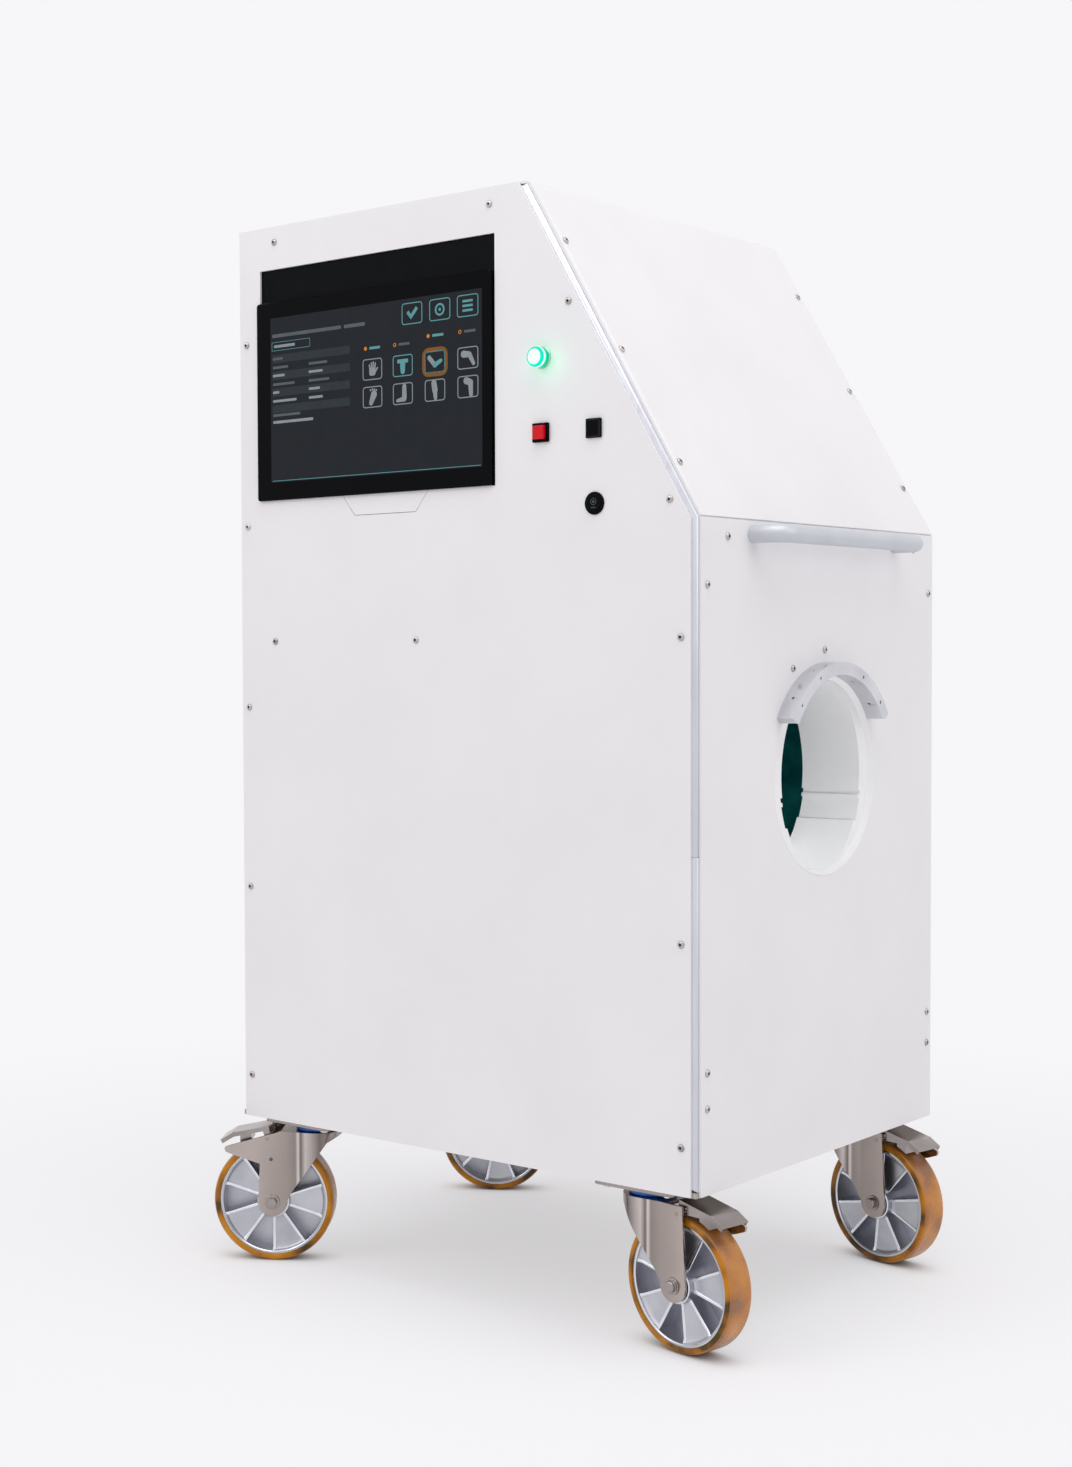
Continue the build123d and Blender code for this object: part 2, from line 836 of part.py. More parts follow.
with BuildPart() as bore_liner:
    with BuildSketch(bore_plane.offset(-panel_thickness)):
        Circle(liner_flange_radius)
    extrude(amount=-liner_flange_thickness)
    with BuildSketch(bore_plane):
        Circle(bore_hole_radius - seat_gap)
    extrude(amount=-panel_thickness)
    extrude(liner_ellipse(lip_plane, liner_side_wall, liner_top_wall), amount=-liner_depth)
    with BuildSketch(bore_plane):
        Circle(bore_hole_radius - seat_gap - liner_land)
    with BuildSketch(lip_plane):
        Circle(bore_lip_radius)
    loft(mode=Mode.SUBTRACT)
    through = bore_lip_depth + liner_depth
    extrude(liner_ellipse(bore_plane, 0, 0), amount=-through, mode=Mode.SUBTRACT)
    groove = groove_oval & groove_band(groove_top, groove_height)
    extrude(groove, amount=-liner_depth, mode=Mode.SUBTRACT)
    with BuildSketch(bore_plane):
        with Locations(*[(x, z - bore_height) for x, z in bore_places[-len(ring_screw_angles):]]):
            Circle(screw_shank_diameter / 2 + screw_hole_clearance)
    extrude(amount=-panel_thickness - liner_flange_thickness, mode=Mode.SUBTRACT)
finish(bore_liner.part, "bore_liner")

with BuildPart() as guide_rails:
    strip_height = groove_height - 2 * seat_gap
    strip_oval = groove_oval - liner_ellipse(
        lip_plane, groove_depth - rail_thickness, groove_depth - rail_thickness
    )
    strips = strip_oval & groove_band(groove_top - seat_gap, strip_height)
    extrude(strips, amount=-liner_depth)
    rib_oval = groove_oval - liner_ellipse(lip_plane, 1, 1)
    ribs = rib_oval & groove_band(groove_top - rail_rib_drop, rail_rib_height)
    extrude(ribs, amount=-liner_depth)
finish(guide_rails.part, "guide_rails")

with BuildPart() as bore_collar:
    with BuildSketch(bore_plane):
        Circle(collar_outer_radius)
        Circle(collar_inner_radius, mode=Mode.SUBTRACT)
        with Locations((0, collar_cut_height - collar_outer_radius)):
            Rectangle(
                2 * collar_outer_radius, 2 * collar_outer_radius, mode=Mode.SUBTRACT
            )
        tip = math.sqrt(collar_outer_radius**2 - collar_cut_height**2)
        for side in (-1, 1):
            Polygon(
                (side * (tip - collar_corner), collar_cut_height),
                (side * (tip + collar_corner), collar_cut_height),
                (side * (tip + collar_corner), collar_cut_height + 2 * collar_corner),
                align=None,
                mode=Mode.SUBTRACT,
            )
    extrude(amount=collar_depth)
    collar_middle = (collar_inner_radius + collar_outer_radius) / 2
    face_angles = (collar_inner_angle, collar_outer_angle)
    with BuildSketch(bore_plane.offset(collar_depth)):
        for angle in face_angles:
            for side in (-1, 1):
                turn = math.radians(90 + side * angle)
                with Locations((collar_middle * math.cos(turn), collar_middle * math.sin(turn))):
                    Circle(collar_hole_radius)
    extrude(amount=-collar_hole_depth, mode=Mode.SUBTRACT)
    for angle in collar_side_angles:
        for side in (-1, 1):
            turn = math.radians(90 + side * angle)
            outward = Vector(0, math.cos(turn), math.sin(turn))
            centre = Vector(x_bore + collar_depth / 2, y_middle, z_bore)
            with BuildSketch(Plane(centre + outward * collar_outer_radius, z_dir=outward)):
                Circle(collar_side_hole_radius)
            extrude(
                amount=-2 * (collar_outer_radius - collar_inner_radius),
                mode=Mode.SUBTRACT,
            )
finish(bore_collar.part, "bore_collar")

# Coil former: a closed tub behind the liner, inside the magnet

with BuildPart() as coil_former:
    with BuildSketch(bore_plane.offset(-former_start)):
        Circle(former_radius + former_wall)
    extrude(amount=-former_length)
    with BuildSketch(bore_plane.offset(-former_start)):
        Circle(former_radius)
    extrude(amount=-former_length + former_end_wall, mode=Mode.SUBTRACT)
finish(coil_former.part, "coil_former")

# Magnet: a row of sixteen-sided rings on rods, between the two plates of its cradle

ring_pitch = ring_thickness + ring_gap
magnet_end = magnet_start + ring_count * ring_pitch - ring_gap

with BuildPart() as magnet_rings:
    for step in range(ring_count):
        with BuildSketch(bore_plane.offset(-magnet_start - step * ring_pitch)):
            RegularPolygon(ring_outer_radius, ring_flats)
            Circle(former_radius + former_wall + seat_gap, mode=Mode.SUBTRACT)
            with PolarLocations(rod_circle, rod_count):
                Circle(rod_radius + rod_clearance, mode=Mode.SUBTRACT)
        extrude(amount=-ring_thickness)
finish(magnet_rings.part, "magnet_rings")

rail_top_z = z_floor_plate + profile_size
front_plate = magnet_start - cradle_gap
rear_plate = magnet_end + cradle_gap + cradle_plate

with BuildPart() as magnet_cradle:
    foot_width = cabinet_depth - 2 * (rail_inner - cradle_foot_overlap)
    foot_drop = z_bore - rail_top_z
    for start in (front_plate, rear_plate):
        with BuildSketch(bore_plane.offset(-start)):
            Circle(ring_outer_radius)
            with Locations((0, -foot_drop / 2)):
                Rectangle(cradle_waist, foot_drop)
            with Locations((0, cradle_foot_height / 2 - foot_drop)):
                Rectangle(foot_width, cradle_foot_height)
            Circle(former_radius + former_wall + seat_gap, mode=Mode.SUBTRACT)
        extrude(amount=cradle_plate)
    with BuildSketch(bore_plane.offset(-front_plate)):
        with PolarLocations(rod_circle, rod_count):
            Circle(rod_radius)
    extrude(amount=-(rear_plate - front_plate))
finish(magnet_cradle.part, "magnet_cradle")

# Equipment bay behind the magnet: shelf, console and gradient amplifier

bay_near = x_bore - rear_plate - bay_gap
bay_far = x_side + rail_inner + bay_gap
bay_length = bay_near - bay_far
bay_middle = (bay_near + bay_far) / 2
shelf_z = z_base + mid_rail_height + profile_size / 2

with BuildPart() as equipment_shelf:
    shelf_depth = cabinet_depth - 2 * (rail_inner - shelf_bearing)
    with BuildSketch(Plane.XY.offset(shelf_z)):
        with Locations((bay_middle, y_middle)):
            Rectangle(bay_length, shelf_depth)
    extrude(amount=shelf_sheet)
    with BuildSketch(Plane.XY.offset(shelf_z)):
        for x in (bay_far + shelf_sheet / 2, bay_near - shelf_sheet / 2):
            with Locations((x, y_middle)):
                Rectangle(shelf_sheet, shelf_depth)
    extrude(amount=shelf_lip)
finish(equipment_shelf.part, "equipment_shelf")

with BuildPart() as console:
    with BuildSketch(Plane.XY.offset(shelf_z + shelf_sheet)):
        with Locations((bay_middle, y_middle)):
            RectangleRounded(
                bay_length - 2 * console_margin, console_depth, console_corner
            )
    extrude(amount=console_height)
    chamfer(console.faces().sort_by(Axis.Z)[-1].outer_wire().edges(), console_edge)
finish(console.part, "console")

with BuildPart() as gradient_amplifier:
    fin_span = amplifier_depth - 2 * fin_thickness
    fin_count = int(fin_span // fin_pitch) + 1
    with BuildSketch(Plane.XY.offset(z_floor_plate)):
        with Locations((bay_middle, y_middle)):
            Rectangle(bay_length - 2 * console_margin, amplifier_depth)
    extrude(amount=amplifier_height - fin_depth)
    with BuildSketch(Plane.XY.offset(z_floor_plate + amplifier_height - fin_depth)):
        with Locations((bay_middle, y_middle)):
            with GridLocations(1, fin_pitch, 1, fin_count):
                Rectangle(bay_length - 2 * console_margin, fin_thickness)
    extrude(amount=fin_depth)
finish(gradient_amplifier.part, "gradient_amplifier")

with BuildPart() as mains_inlet:
    with BuildSketch(side_face):
        with Locations((0, inlet_height)):
            RectangleRounded(
                inlet_width + 2 * inlet_flange, inlet_tall + 2 * inlet_flange, inlet_corner
            )
    extrude(amount=inlet_flange / 2)
    with BuildSketch(side_face):
        with Locations((0, inlet_height)):
            Rectangle(inlet_width, inlet_tall)
    extrude(amount=-inlet_depth)
    with BuildSketch(side_face.offset(inlet_flange / 2)):
        with Locations((0, inlet_height)):
            Rectangle(inlet_width - 2 * inlet_flange, inlet_tall - inlet_flange)
    extrude(amount=-inlet_depth + inlet_flange, mode=Mode.SUBTRACT)
finish(mains_inlet.part, "mains_inlet")

# Caster, in its own frame: swivel axis on Z, floor at Z = 0, trailing to +X

plate_bottom = build_height - plate_thickness
crown_top = plate_bottom - seal_height
crown_bottom = crown_top - fork_crown
axle_z = wheel_diameter / 2
cheek_outer = fork_inner_width / 2 + fork_sheet
pin_x = caster_trail + pedal_pin_behind
axle_plane = Plane(origin=(caster_trail, 0, axle_z), x_dir=(1, 0, 0), z_dir=(0, -1, 0))
pin_plane = Plane(origin=(pin_x, 0, pedal_pin_height), x_dir=(1, 0, 0), z_dir=(0, -1, 0))

with BuildPart() as caster_plate:
    with BuildSketch(Plane.XY.offset(plate_bottom)):
        RectangleRounded(plate_length, plate_breadth, plate_corner)
        with GridLocations(bolt_spacing_x, bolt_spacing_y, 2, 2):
            Circle(bolt_radius + bolt_clearance, mode=Mode.SUBTRACT)
    extrude(amount=plate_thickness)
    pin_foot = crown_bottom - seat_gap - kingpin_head_height
    with BuildSketch(Plane.XY.offset(pin_foot)):
        Circle(kingpin_radius)
    extrude(amount=plate_bottom - pin_foot)
    with BuildSketch(Plane.XY.offset(pin_foot)):
        Circle(kingpin_head_radius)
    extrude(amount=kingpin_head_height)
    with BuildSketch(Plane.XY.offset(plate_bottom)):
        Circle(seal_bore / 2 - seal_gap)
    extrude(amount=-seal_height / 2)

with BuildPart() as caster_seal:
    with BuildSketch(Plane.XY.offset(crown_top + seal_gap)):
        Circle(seal_diameter / 2)
        Circle(seal_bore / 2, mode=Mode.SUBTRACT)
    extrude(amount=seal_height - seal_gap)
    chamfer(caster_seal.faces().sort_by(Axis.Z)[0].outer_wire().edges(), seal_edge)

# Fork: a pressed drum open at the back, whose sides run on as cheeks, one of them with a wing

cheek_rear_x = caster_trail + cheek_rear
cheek_front_x = caster_trail - cheek_front


def cheek_shape(rear_points):
    """Side view of the fork from its crown, down the rear points, to the round hub end."""
    Polygon(
        (-drum_radius, crown_top),
        *rear_points,
        (caster_trail + cheek_end_radius, axle_z),
        (caster_trail - cheek_end_radius, axle_z),
        (cheek_front_x, axle_z + cheek_front_rise),
        (caster_trail - cheek_shoulder, axle_z + cheek_shoulder_rise),
        (-drum_radius, crown_top - drum_front_drop),
        align=None,
    )
    with Locations((caster_trail, axle_z)):
        Circle(cheek_end_radius)


with BuildPart() as fork_sides:
    with BuildSketch(Plane.XZ):
        cheek_shape([(cheek_rear_x, crown_top)])
    extrude(amount=2 * drum_radius)
    with BuildSketch(Plane.XZ) as winged_side:
        cheek_shape(
            [
                (crown_reach, crown_top),
                (caster_trail + wing_reach, crown_top - wing_drop),
                (caster_trail + wing_end, crown_top - wing_end_drop),
                (caster_trail + wing_heel, crown_top - wing_heel_drop),
                (caster_trail + wing_root, crown_top - wing_root_drop),
            ]
        )
        fillet(winged_side.vertices().sort_by(Axis.X)[-1], wing_corner)
    extrude(amount=-2 * drum_radius)

with BuildPart() as fork:
    drum_foot = axle_z - cheek_end_radius
    with BuildSketch(Plane.XY.offset(drum_foot)) as drum:
        Circle(drum_radius)
        with Locations((drum_radius, 0)):
            Rectangle(fork_sheet, 2 * cheek_outer)
        make_hull()
        with Locations((drum_radius + wheel_diameter / 2, 0)):
            Rectangle(wheel_diameter, 2 * cheek_outer)
        offset(amount=-fork_sheet, mode=Mode.SUBTRACT)
    extrude(amount=crown_top - drum_foot)
    with BuildSketch(Plane.XY.offset(crown_bottom)):
        Circle(drum_radius)
        with Locations((crown_reach / 2, 0)):
            Rectangle(crown_reach, 2 * cheek_outer)
    extrude(amount=fork_crown)
    add(fork_sides.part, mode=Mode.INTERSECT)
    with BuildSketch(Plane.XY.offset(crown_bottom)):
        Circle(kingpin_radius + running_clearance)
    extrude(amount=fork_crown, mode=Mode.SUBTRACT)
    with BuildSketch(axle_plane):
        Circle(axle_radius + running_clearance)
    extrude(amount=2 * drum_radius, both=True, mode=Mode.SUBTRACT)
    with BuildSketch(pin_plane):
        Circle(pedal_pin_radius + running_clearance)
    extrude(amount=2 * drum_radius, both=True, mode=Mode.SUBTRACT)
    with BuildSketch(Plane.XZ.offset(-cheek_outer)):
        with Locations((caster_trail + cheek_hole_behind, crown_top - cheek_hole_drop)):
            Circle(cheek_hole_radius)
    extrude(amount=fork_sheet, mode=Mode.SUBTRACT)

with BuildPart() as axle:
    with BuildSketch(axle_plane):
        Circle(axle_radius)
    extrude(amount=cheek_outer + washer_thickness, both=True)
    with BuildSketch(axle_plane.offset(cheek_outer)):
        Circle(washer_radius)
    extrude(amount=washer_thickness)
    with BuildSketch(axle_plane.offset(-cheek_outer)):
        Circle(washer_radius)
    extrude(amount=-washer_thickness)
    with BuildSketch(axle_plane.offset(cheek_outer + washer_thickness)):
        Circle(axle_head_radius)
    extrude(amount=axle_head_height)
    chamfer(axle.faces().sort_by(Axis.Y)[0].edges(), 1.5)
    with BuildSketch(axle_plane.offset(-cheek_outer - washer_thickness)):
        RegularPolygon(axle_head_radius, 6)
    extrude(amount=-axle_head_height)
    with BuildSketch(axle_plane):
        Circle(sleeve_radius)
    extrude(amount=fork_inner_width / 2, both=True)

# Wheel: a cast centre whose web steps in and out between ten spokes, and its bonded tyre

rim_radius = wheel_diameter / 2 - tyre_thickness
web_outer = rim_radius - rim_thickness / 2
web_inner = hub_diameter / 2 - web_overlap
web_angle = 360 / (2 * web_pairs)
web_edge = 1.2 * web_outer

with BuildPart() as wheel_centre:
    with BuildSketch(Plane.XZ):
        Circle(rim_radius - tyre_seat_gap)
        Circle(rim_radius - rim_thickness, mode=Mode.SUBTRACT)
    extrude(amount=rim_width / 2, both=True)
    with BuildSketch(Plane.XZ):
        Circle(hub_diameter / 2)
    extrude(amount=hub_length / 2, both=True)
    for side, first in ((1, 0), (-1, web_angle)):
        outer_y = side * web_spread / 2
        with BuildSketch(Plane.XZ.offset(outer_y)):
            with PolarLocations(0, web_pairs, start_angle=first):
                Polygon(
                    (0, 0),
                    (web_edge, 0),
                    (
                        web_edge * math.cos(math.radians(web_angle)),
                        web_edge * math.sin(math.radians(web_angle)),
                    ),
                    align=None,
                )
            Circle(web_outer, mode=Mode.INTERSECT)
            Circle(web_inner, mode=Mode.SUBTRACT)
        extrude(amount=-side * web_thickness)
    with BuildSketch(Plane.XZ):
        spoke_length = web_outer - web_inner
        with PolarLocations(web_inner + spoke_length / 2, 2 * web_pairs):
            Rectangle(spoke_length, spoke_thickness)
    extrude(amount=web_spread / 2, both=True)
    with BuildSketch(Plane.XZ):
        Circle(sleeve_radius + running_clearance)
    extrude(amount=hub_length, both=True, mode=Mode.SUBTRACT)

with BuildPart() as tyre:
    with BuildSketch(Plane.XY) as section:
        with Locations((rim_radius + tyre_thickness / 2, 0)):
            Rectangle(tyre_thickness, wheel_width)
        fillet(section.vertices().group_by(Axis.X)[-1], tyre_round)
    revolve(axis=Axis.Y)

# Brake pedal: a bent channel on ears with a pin through the cheeks, and a shoe over the tyre

front_x = caster_trail + pedal_front
front_z = crown_top + pedal_front_rise
knee_x = caster_trail + pedal_knee
knee_z = crown_top - pedal_knee_drop
tread_fall = (front_z - knee_z) / (knee_x - front_x)


def under_tread(x, drop):
    """Point of the pedal's side view at x behind the swivel axis, drop below the tread."""
    return (x, front_z - tread_fall * (x - front_x) - drop)


with BuildPart() as brake_pedal:
    with BuildLine(Plane.XZ) as tread_line:
        FilletPolyline(
            (front_x, front_z),
            (knee_x, knee_z),
            (caster_trail + pedal_lip, crown_top - pedal_lip_drop),
            radius=pedal_knee_radius,
        )
    front_edge = Plane(
        origin=(front_x, 0, front_z), x_dir=(0, 1, 0), z_dir=(1, 0, -tread_fall)
    )
    with BuildSketch(front_edge):
        with Locations((0, -pedal_flange / 2)):
            Rectangle(pedal_width, pedal_flange)
        with Locations((0, -pedal_flange / 2 - pedal_sheet)):
            Rectangle(pedal_width - 2 * pedal_sheet, pedal_flange, mode=Mode.SUBTRACT)
    sweep(path=tread_line.wires()[0])
    ear_radius = pedal_pin_radius + pedal_ear_edge
    for side in (-1, 1):
        with BuildSketch(Plane.XZ.offset(side * pedal_width / 2)):
            with Locations((pin_x, pedal_pin_height)):
                Circle(ear_radius)
            Polygon(
                (pin_x - ear_radius, pedal_pin_height),
                (pin_x + ear_radius, pedal_pin_height),
                under_tread(pin_x + 2 * ear_radius, pedal_sheet),
                under_tread(front_x, pedal_sheet),
                align=None,
            )
        extrude(amount=-side * pedal_sheet)
    skirt_x = caster_trail + skirt_start
    skirt_end = skirt_x + skirt_length
    skirt_foot = crown_top - skirt_drop
    with BuildSketch(Plane.XZ.offset(pedal_width / 2)) as skirt:
        Polygon(
            (skirt_x, skirt_foot),
            (skirt_end, skirt_foot),
            under_tread(skirt_end, pedal_sheet),
            under_tread(skirt_x, pedal_sheet),
            align=None,
        )
        fillet(skirt.vertices().sort_by(Axis.Z)[:2], skirt_corner)
    extrude(amount=-pedal_sheet)
    with BuildSketch(pin_plane):
        Circle(pedal_pin_radius)
    extrude(amount=cheek_outer, both=True)
    shoe_x = caster_trail + shoe_start
    with BuildSketch(Plane.XZ):
        Polygon(
            (shoe_x, axle_z),
            (shoe_x + shoe_length, axle_z),
            under_tread(shoe_x + shoe_length, pedal_sheet / 2),
            under_tread(shoe_x, pedal_sheet / 2),
            align=None,
        )
        with Locations((caster_trail, axle_z)):
            Circle(wheel_diameter / 2 + shoe_gap, mode=Mode.SUBTRACT)
    extrude(amount=shoe_width / 2, both=True)


with BuildPart() as caster_bolts:
    for axis in swivel_axes.values():
        with BuildSketch(Plane.XY.offset(plate_bottom)) as bolt_heads:
            with Locations(axis):
                with GridLocations(bolt_spacing_x, bolt_spacing_y, 2, 2):
                    RegularPolygon(bolt_head_radius, 12)
        extrude(bolt_heads.sketch, amount=-bolt_head_height)
        with BuildSketch(Plane.XY.offset(plate_bottom)) as bolt_shanks:
            with Locations(axis):
                with GridLocations(bolt_spacing_x, bolt_spacing_y, 2, 2):
                    Circle(bolt_radius)
        extrude(bolt_shanks.sketch, amount=plate_thickness + base_plate_thickness - seat_gap)
finish(caster_bolts.part, "caster_bolts")

# The four casters as they stand

wheel_place = Location((caster_trail, 0, axle_z))
for corner, (axis_x, axis_y) in swivel_axes.items():
    fixed = Location((axis_x, axis_y, 0))
    trailing = Location((axis_x, axis_y, 0), (0, 0, trail_angles[corner]))
    rolled = trailing * wheel_place * Location((0, 0, 0), (0, spoke_angles[corner], 0))
    finish(caster_plate.part.moved(fixed), f"caster_plate_{corner}")
    finish(caster_seal.part.moved(fixed), f"caster_seal_{corner}")
    finish(fork.part.moved(trailing), f"fork_{corner}")
    finish(axle.part.moved(trailing), f"axle_{corner}")
    finish(wheel_centre.part.moved(rolled), f"wheel_centre_{corner}")
    finish(tyre.part.moved(rolled), f"tyre_{corner}")
    finish(brake_pedal.part.moved(trailing), f"brake_pedal_{corner}")
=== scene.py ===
import json
import math

import bmesh
import bpy
from mathutils import Matrix, Vector

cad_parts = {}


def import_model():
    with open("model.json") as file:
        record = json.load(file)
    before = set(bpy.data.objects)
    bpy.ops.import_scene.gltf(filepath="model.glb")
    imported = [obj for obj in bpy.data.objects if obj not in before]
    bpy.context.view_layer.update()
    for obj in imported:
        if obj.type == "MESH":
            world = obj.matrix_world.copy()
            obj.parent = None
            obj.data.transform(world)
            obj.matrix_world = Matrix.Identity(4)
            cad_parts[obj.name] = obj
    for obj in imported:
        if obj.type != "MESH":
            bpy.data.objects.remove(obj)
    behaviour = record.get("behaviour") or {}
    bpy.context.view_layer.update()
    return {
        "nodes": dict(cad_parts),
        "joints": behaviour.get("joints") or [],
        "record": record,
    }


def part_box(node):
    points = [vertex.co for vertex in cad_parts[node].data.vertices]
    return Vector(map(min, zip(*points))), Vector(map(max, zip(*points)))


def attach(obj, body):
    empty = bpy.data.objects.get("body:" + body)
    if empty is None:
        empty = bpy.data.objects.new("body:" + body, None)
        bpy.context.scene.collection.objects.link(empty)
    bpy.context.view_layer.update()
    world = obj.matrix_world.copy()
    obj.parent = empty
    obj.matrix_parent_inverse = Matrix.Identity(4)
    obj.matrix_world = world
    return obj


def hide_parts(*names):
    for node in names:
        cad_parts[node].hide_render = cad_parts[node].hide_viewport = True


# Mobile extremity scanner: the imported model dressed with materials, screws, the screen's picture,
# the lamp, the buttons and the small parts of the casters.
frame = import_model()
nodes = frame["nodes"]
joints = {joint["name"]: joint for joint in frame["joints"]}
slots = {part["node"]: part["material_slot"] for part in frame["record"]["subparts"]}
MM = 0.001
CORNERS = ("bore_front", "bore_rear", "side_front", "side_rear")
PANELS = ("control_panel", "bore_panel", "slope_panel", "top_panel", "back_panel", "side_panel")


# Node helpers


def srgb(r, g, b):
    """A colour written as 0-255 display values, as the linear colour of a shader."""
    def line(c):
        c /= 255
        return c / 12.92 if c <= 0.04045 else ((c + 0.055) / 1.055) ** 2.4
    return (line(r), line(g), line(b), 1.0)


def new_material(name, **sockets):
    """A material with a Principled shader whose sockets have these constant values."""
    m = bpy.data.materials.new(name)
    m.use_nodes = True
    shader = m.node_tree.nodes["Principled BSDF"]
    for key, value in sockets.items():
        shader.inputs[key.replace("_", " ")].default_value = value
    return m, m.node_tree, shader


def place(tree, stretch=(1, 1, 1)):
    """Object coordinates, stretched."""
    coord = tree.nodes.new("ShaderNodeTexCoord")
    mapping = tree.nodes.new("ShaderNodeMapping")
    mapping.inputs["Scale"].default_value = stretch
    tree.links.new(coord.outputs["Object"], mapping.inputs["Vector"])
    return mapping.outputs["Vector"]


def noise(tree, vector, scale, detail=4.0, rough=0.55):
    """A noise texture's value."""
    n = tree.nodes.new("ShaderNodeTexNoise")
    n.inputs["Scale"].default_value = scale
    n.inputs["Detail"].default_value = detail
    n.inputs["Roughness"].default_value = rough
    tree.links.new(vector, n.inputs["Vector"])
    return n.outputs["Fac"]


def ramp(tree, value, stops):
    """A colour ramp over a value."""
    r = tree.nodes.new("ShaderNodeValToRGB")
    tree.links.new(value, r.inputs["Fac"])
    elements = r.color_ramp.elements
    while len(elements) < len(stops):
        elements.new(0.5)
    for e, (position, colour) in zip(elements, stops):
        e.position = position
        e.color = colour
    return r.outputs["Color"]


def reckoned(tree, operation, *values):
    """The result of a Math node; each value is another node's result or a constant."""
    node = tree.nodes.new("ShaderNodeMath")
    node.operation = operation
    for socket, value in zip(node.inputs, values):
        if isinstance(value, (int, float)):
            socket.default_value = value
        else:
            tree.links.new(value, socket)
    return node.outputs[0]


def spread(tree, value, low, high, lowest=0.3, highest=0.7):
    """A value's usual range spread to another range."""
    r = tree.nodes.new("ShaderNodeMapRange")
    r.inputs["From Min"].default_value = lowest
    r.inputs["From Max"].default_value = highest
    r.inputs["To Min"].default_value = low
    r.inputs["To Max"].default_value = high
    tree.links.new(value, r.inputs["Value"])
    return r.outputs["Result"]


def bumped(tree, shader, value, strength, distance):
    """A value as the shader's fine relief."""
    b = tree.nodes.new("ShaderNodeBump")
    b.inputs["Strength"].default_value = strength
    b.inputs["Distance"].default_value = distance
    tree.links.new(value, b.inputs["Height"])
    tree.links.new(b.outputs["Normal"], shader.inputs["Normal"])


def mottled(name, dark, light, rough, scale, relief=0.0, grain=400.0, **sockets):
    """A surface whose colour and roughness wander between two values, with a fine relief."""
    m, tree, shader = new_material(name, **sockets)
    vector = place(tree)
    wander = noise(tree, vector, scale)
    colour = ramp(tree, wander, [(0.32, dark), (0.68, light)])
    tree.links.new(colour, shader.inputs["Base Color"])
    tree.links.new(spread(tree, wander, rough[0], rough[1]), shader.inputs["Roughness"])
    if relief:
        bumped(tree, shader, noise(tree, vector, grain, 2.0), relief, 0.0004)
    return m


def drawn(name, dark, light, rough, stretch, relief=0.15):
    """Metal with fine drawing lines along one direction over a slow wander."""
    m, tree, shader = new_material(name, Metallic=1.0)
    lines = noise(tree, place(tree, stretch), 90.0, 5.0, 0.6)
    slow = noise(tree, place(tree), 6.0, 3.0)
    both = reckoned(tree, "MULTIPLY_ADD", lines, 0.5, reckoned(tree, "MULTIPLY", slow, 0.5))
    tree.links.new(ramp(tree, both, [(0.38, dark), (0.62, light)]), shader.inputs["Base Color"])
    tree.links.new(spread(tree, both, rough[0], rough[1], 0.4, 0.6), shader.inputs["Roughness"])
    bumped(tree, shader, lines, relief, 0.0002)
    return m


def glowing(name, colour, strength=1.0, base=(0.01, 0.01, 0.01, 1.0), vary=0.12):
    """A lit surface: its glow wanders slightly, as a diffuser's does."""
    m, tree, shader = new_material(name, Roughness=0.12, Specular_IOR_Level=0.04)
    shader.inputs["Base Color"].default_value = base
    dim = tuple(c * (1 - vary) for c in colour[:3]) + (1.0,)
    wander = noise(tree, place(tree), 60.0, 2.0)
    glow = ramp(tree, wander, [(0.3, dim), (0.7, colour)])
    tree.links.new(glow, shader.inputs["Emission Color"])
    shader.inputs["Emission Strength"].default_value = strength
    return m


PANEL = mottled("panel_paint", srgb(241, 239, 241), srgb(245, 243, 245), (0.40, 0.50), 5.0, 0.04, 900.0)
TRIM = drawn("frame_anodised", srgb(205, 206, 214), srgb(219, 220, 227), (0.34, 0.44), (1, 1, 0.03), 0.06)
ZINC = drawn("zinc_plate", srgb(158, 152, 146), srgb(186, 181, 175), (0.30, 0.42), (1, 1, 1), 0.06)
SCREW = drawn("screw_steel", srgb(158, 154, 150), srgb(206, 202, 198), (0.24, 0.36), (1, 1, 1), 0.06)
# painted shade: the screws' sockets are near-black for the shade inside the recess, not for a colour of the
# steel
PAINTED_SHADE_SOCKET = mottled("screw_socket_painted_shade", srgb(20, 18, 18), srgb(40, 37, 36), (0.5, 0.7), 300.0)
HANDLE = mottled("handle_satin", srgb(200, 203, 209), srgb(212, 215, 221), (0.44, 0.52), 9.0, 0.05, 900.0,
                 Metallic=0.45)
BLACK = mottled("black_moulding", srgb(4, 6, 9), srgb(9, 11, 14), (0.36, 0.48), 30.0, 0.1, 1200.0,
                Specular_IOR_Level=0.05)
EDGE = mottled("insert_edge", srgb(14, 18, 25), srgb(26, 31, 40), (0.24, 0.34), 60.0, Specular_IOR_Level=0.15)
PRINT = mottled("button_print", srgb(58, 64, 70), srgb(84, 90, 96), (0.5, 0.62), 240.0,
                Specular_IOR_Level=0.2)
GLASS = mottled("screen_glass_black", srgb(5, 6, 8), srgb(9, 10, 12), (0.08, 0.14), 4.0,
                Specular_IOR_Level=0.05)
LINER = mottled("liner_moulding", srgb(244, 244, 245), srgb(250, 250, 251), (0.38, 0.5), 7.0, 0.04, 800.0)
FORMER = mottled("former_resin", srgb(0, 60, 62), srgb(4, 96, 94), (0.3, 0.5), 22.0, 0.15, 200.0)
MAGNET = mottled("magnet_paint", srgb(82, 84, 90), srgb(104, 106, 112), (0.45, 0.6), 18.0, 0.1, 500.0)
PAINTED = mottled("painted_sheet", srgb(128, 130, 134), srgb(148, 150, 154), (0.4, 0.55), 12.0, 0.1, 700.0)
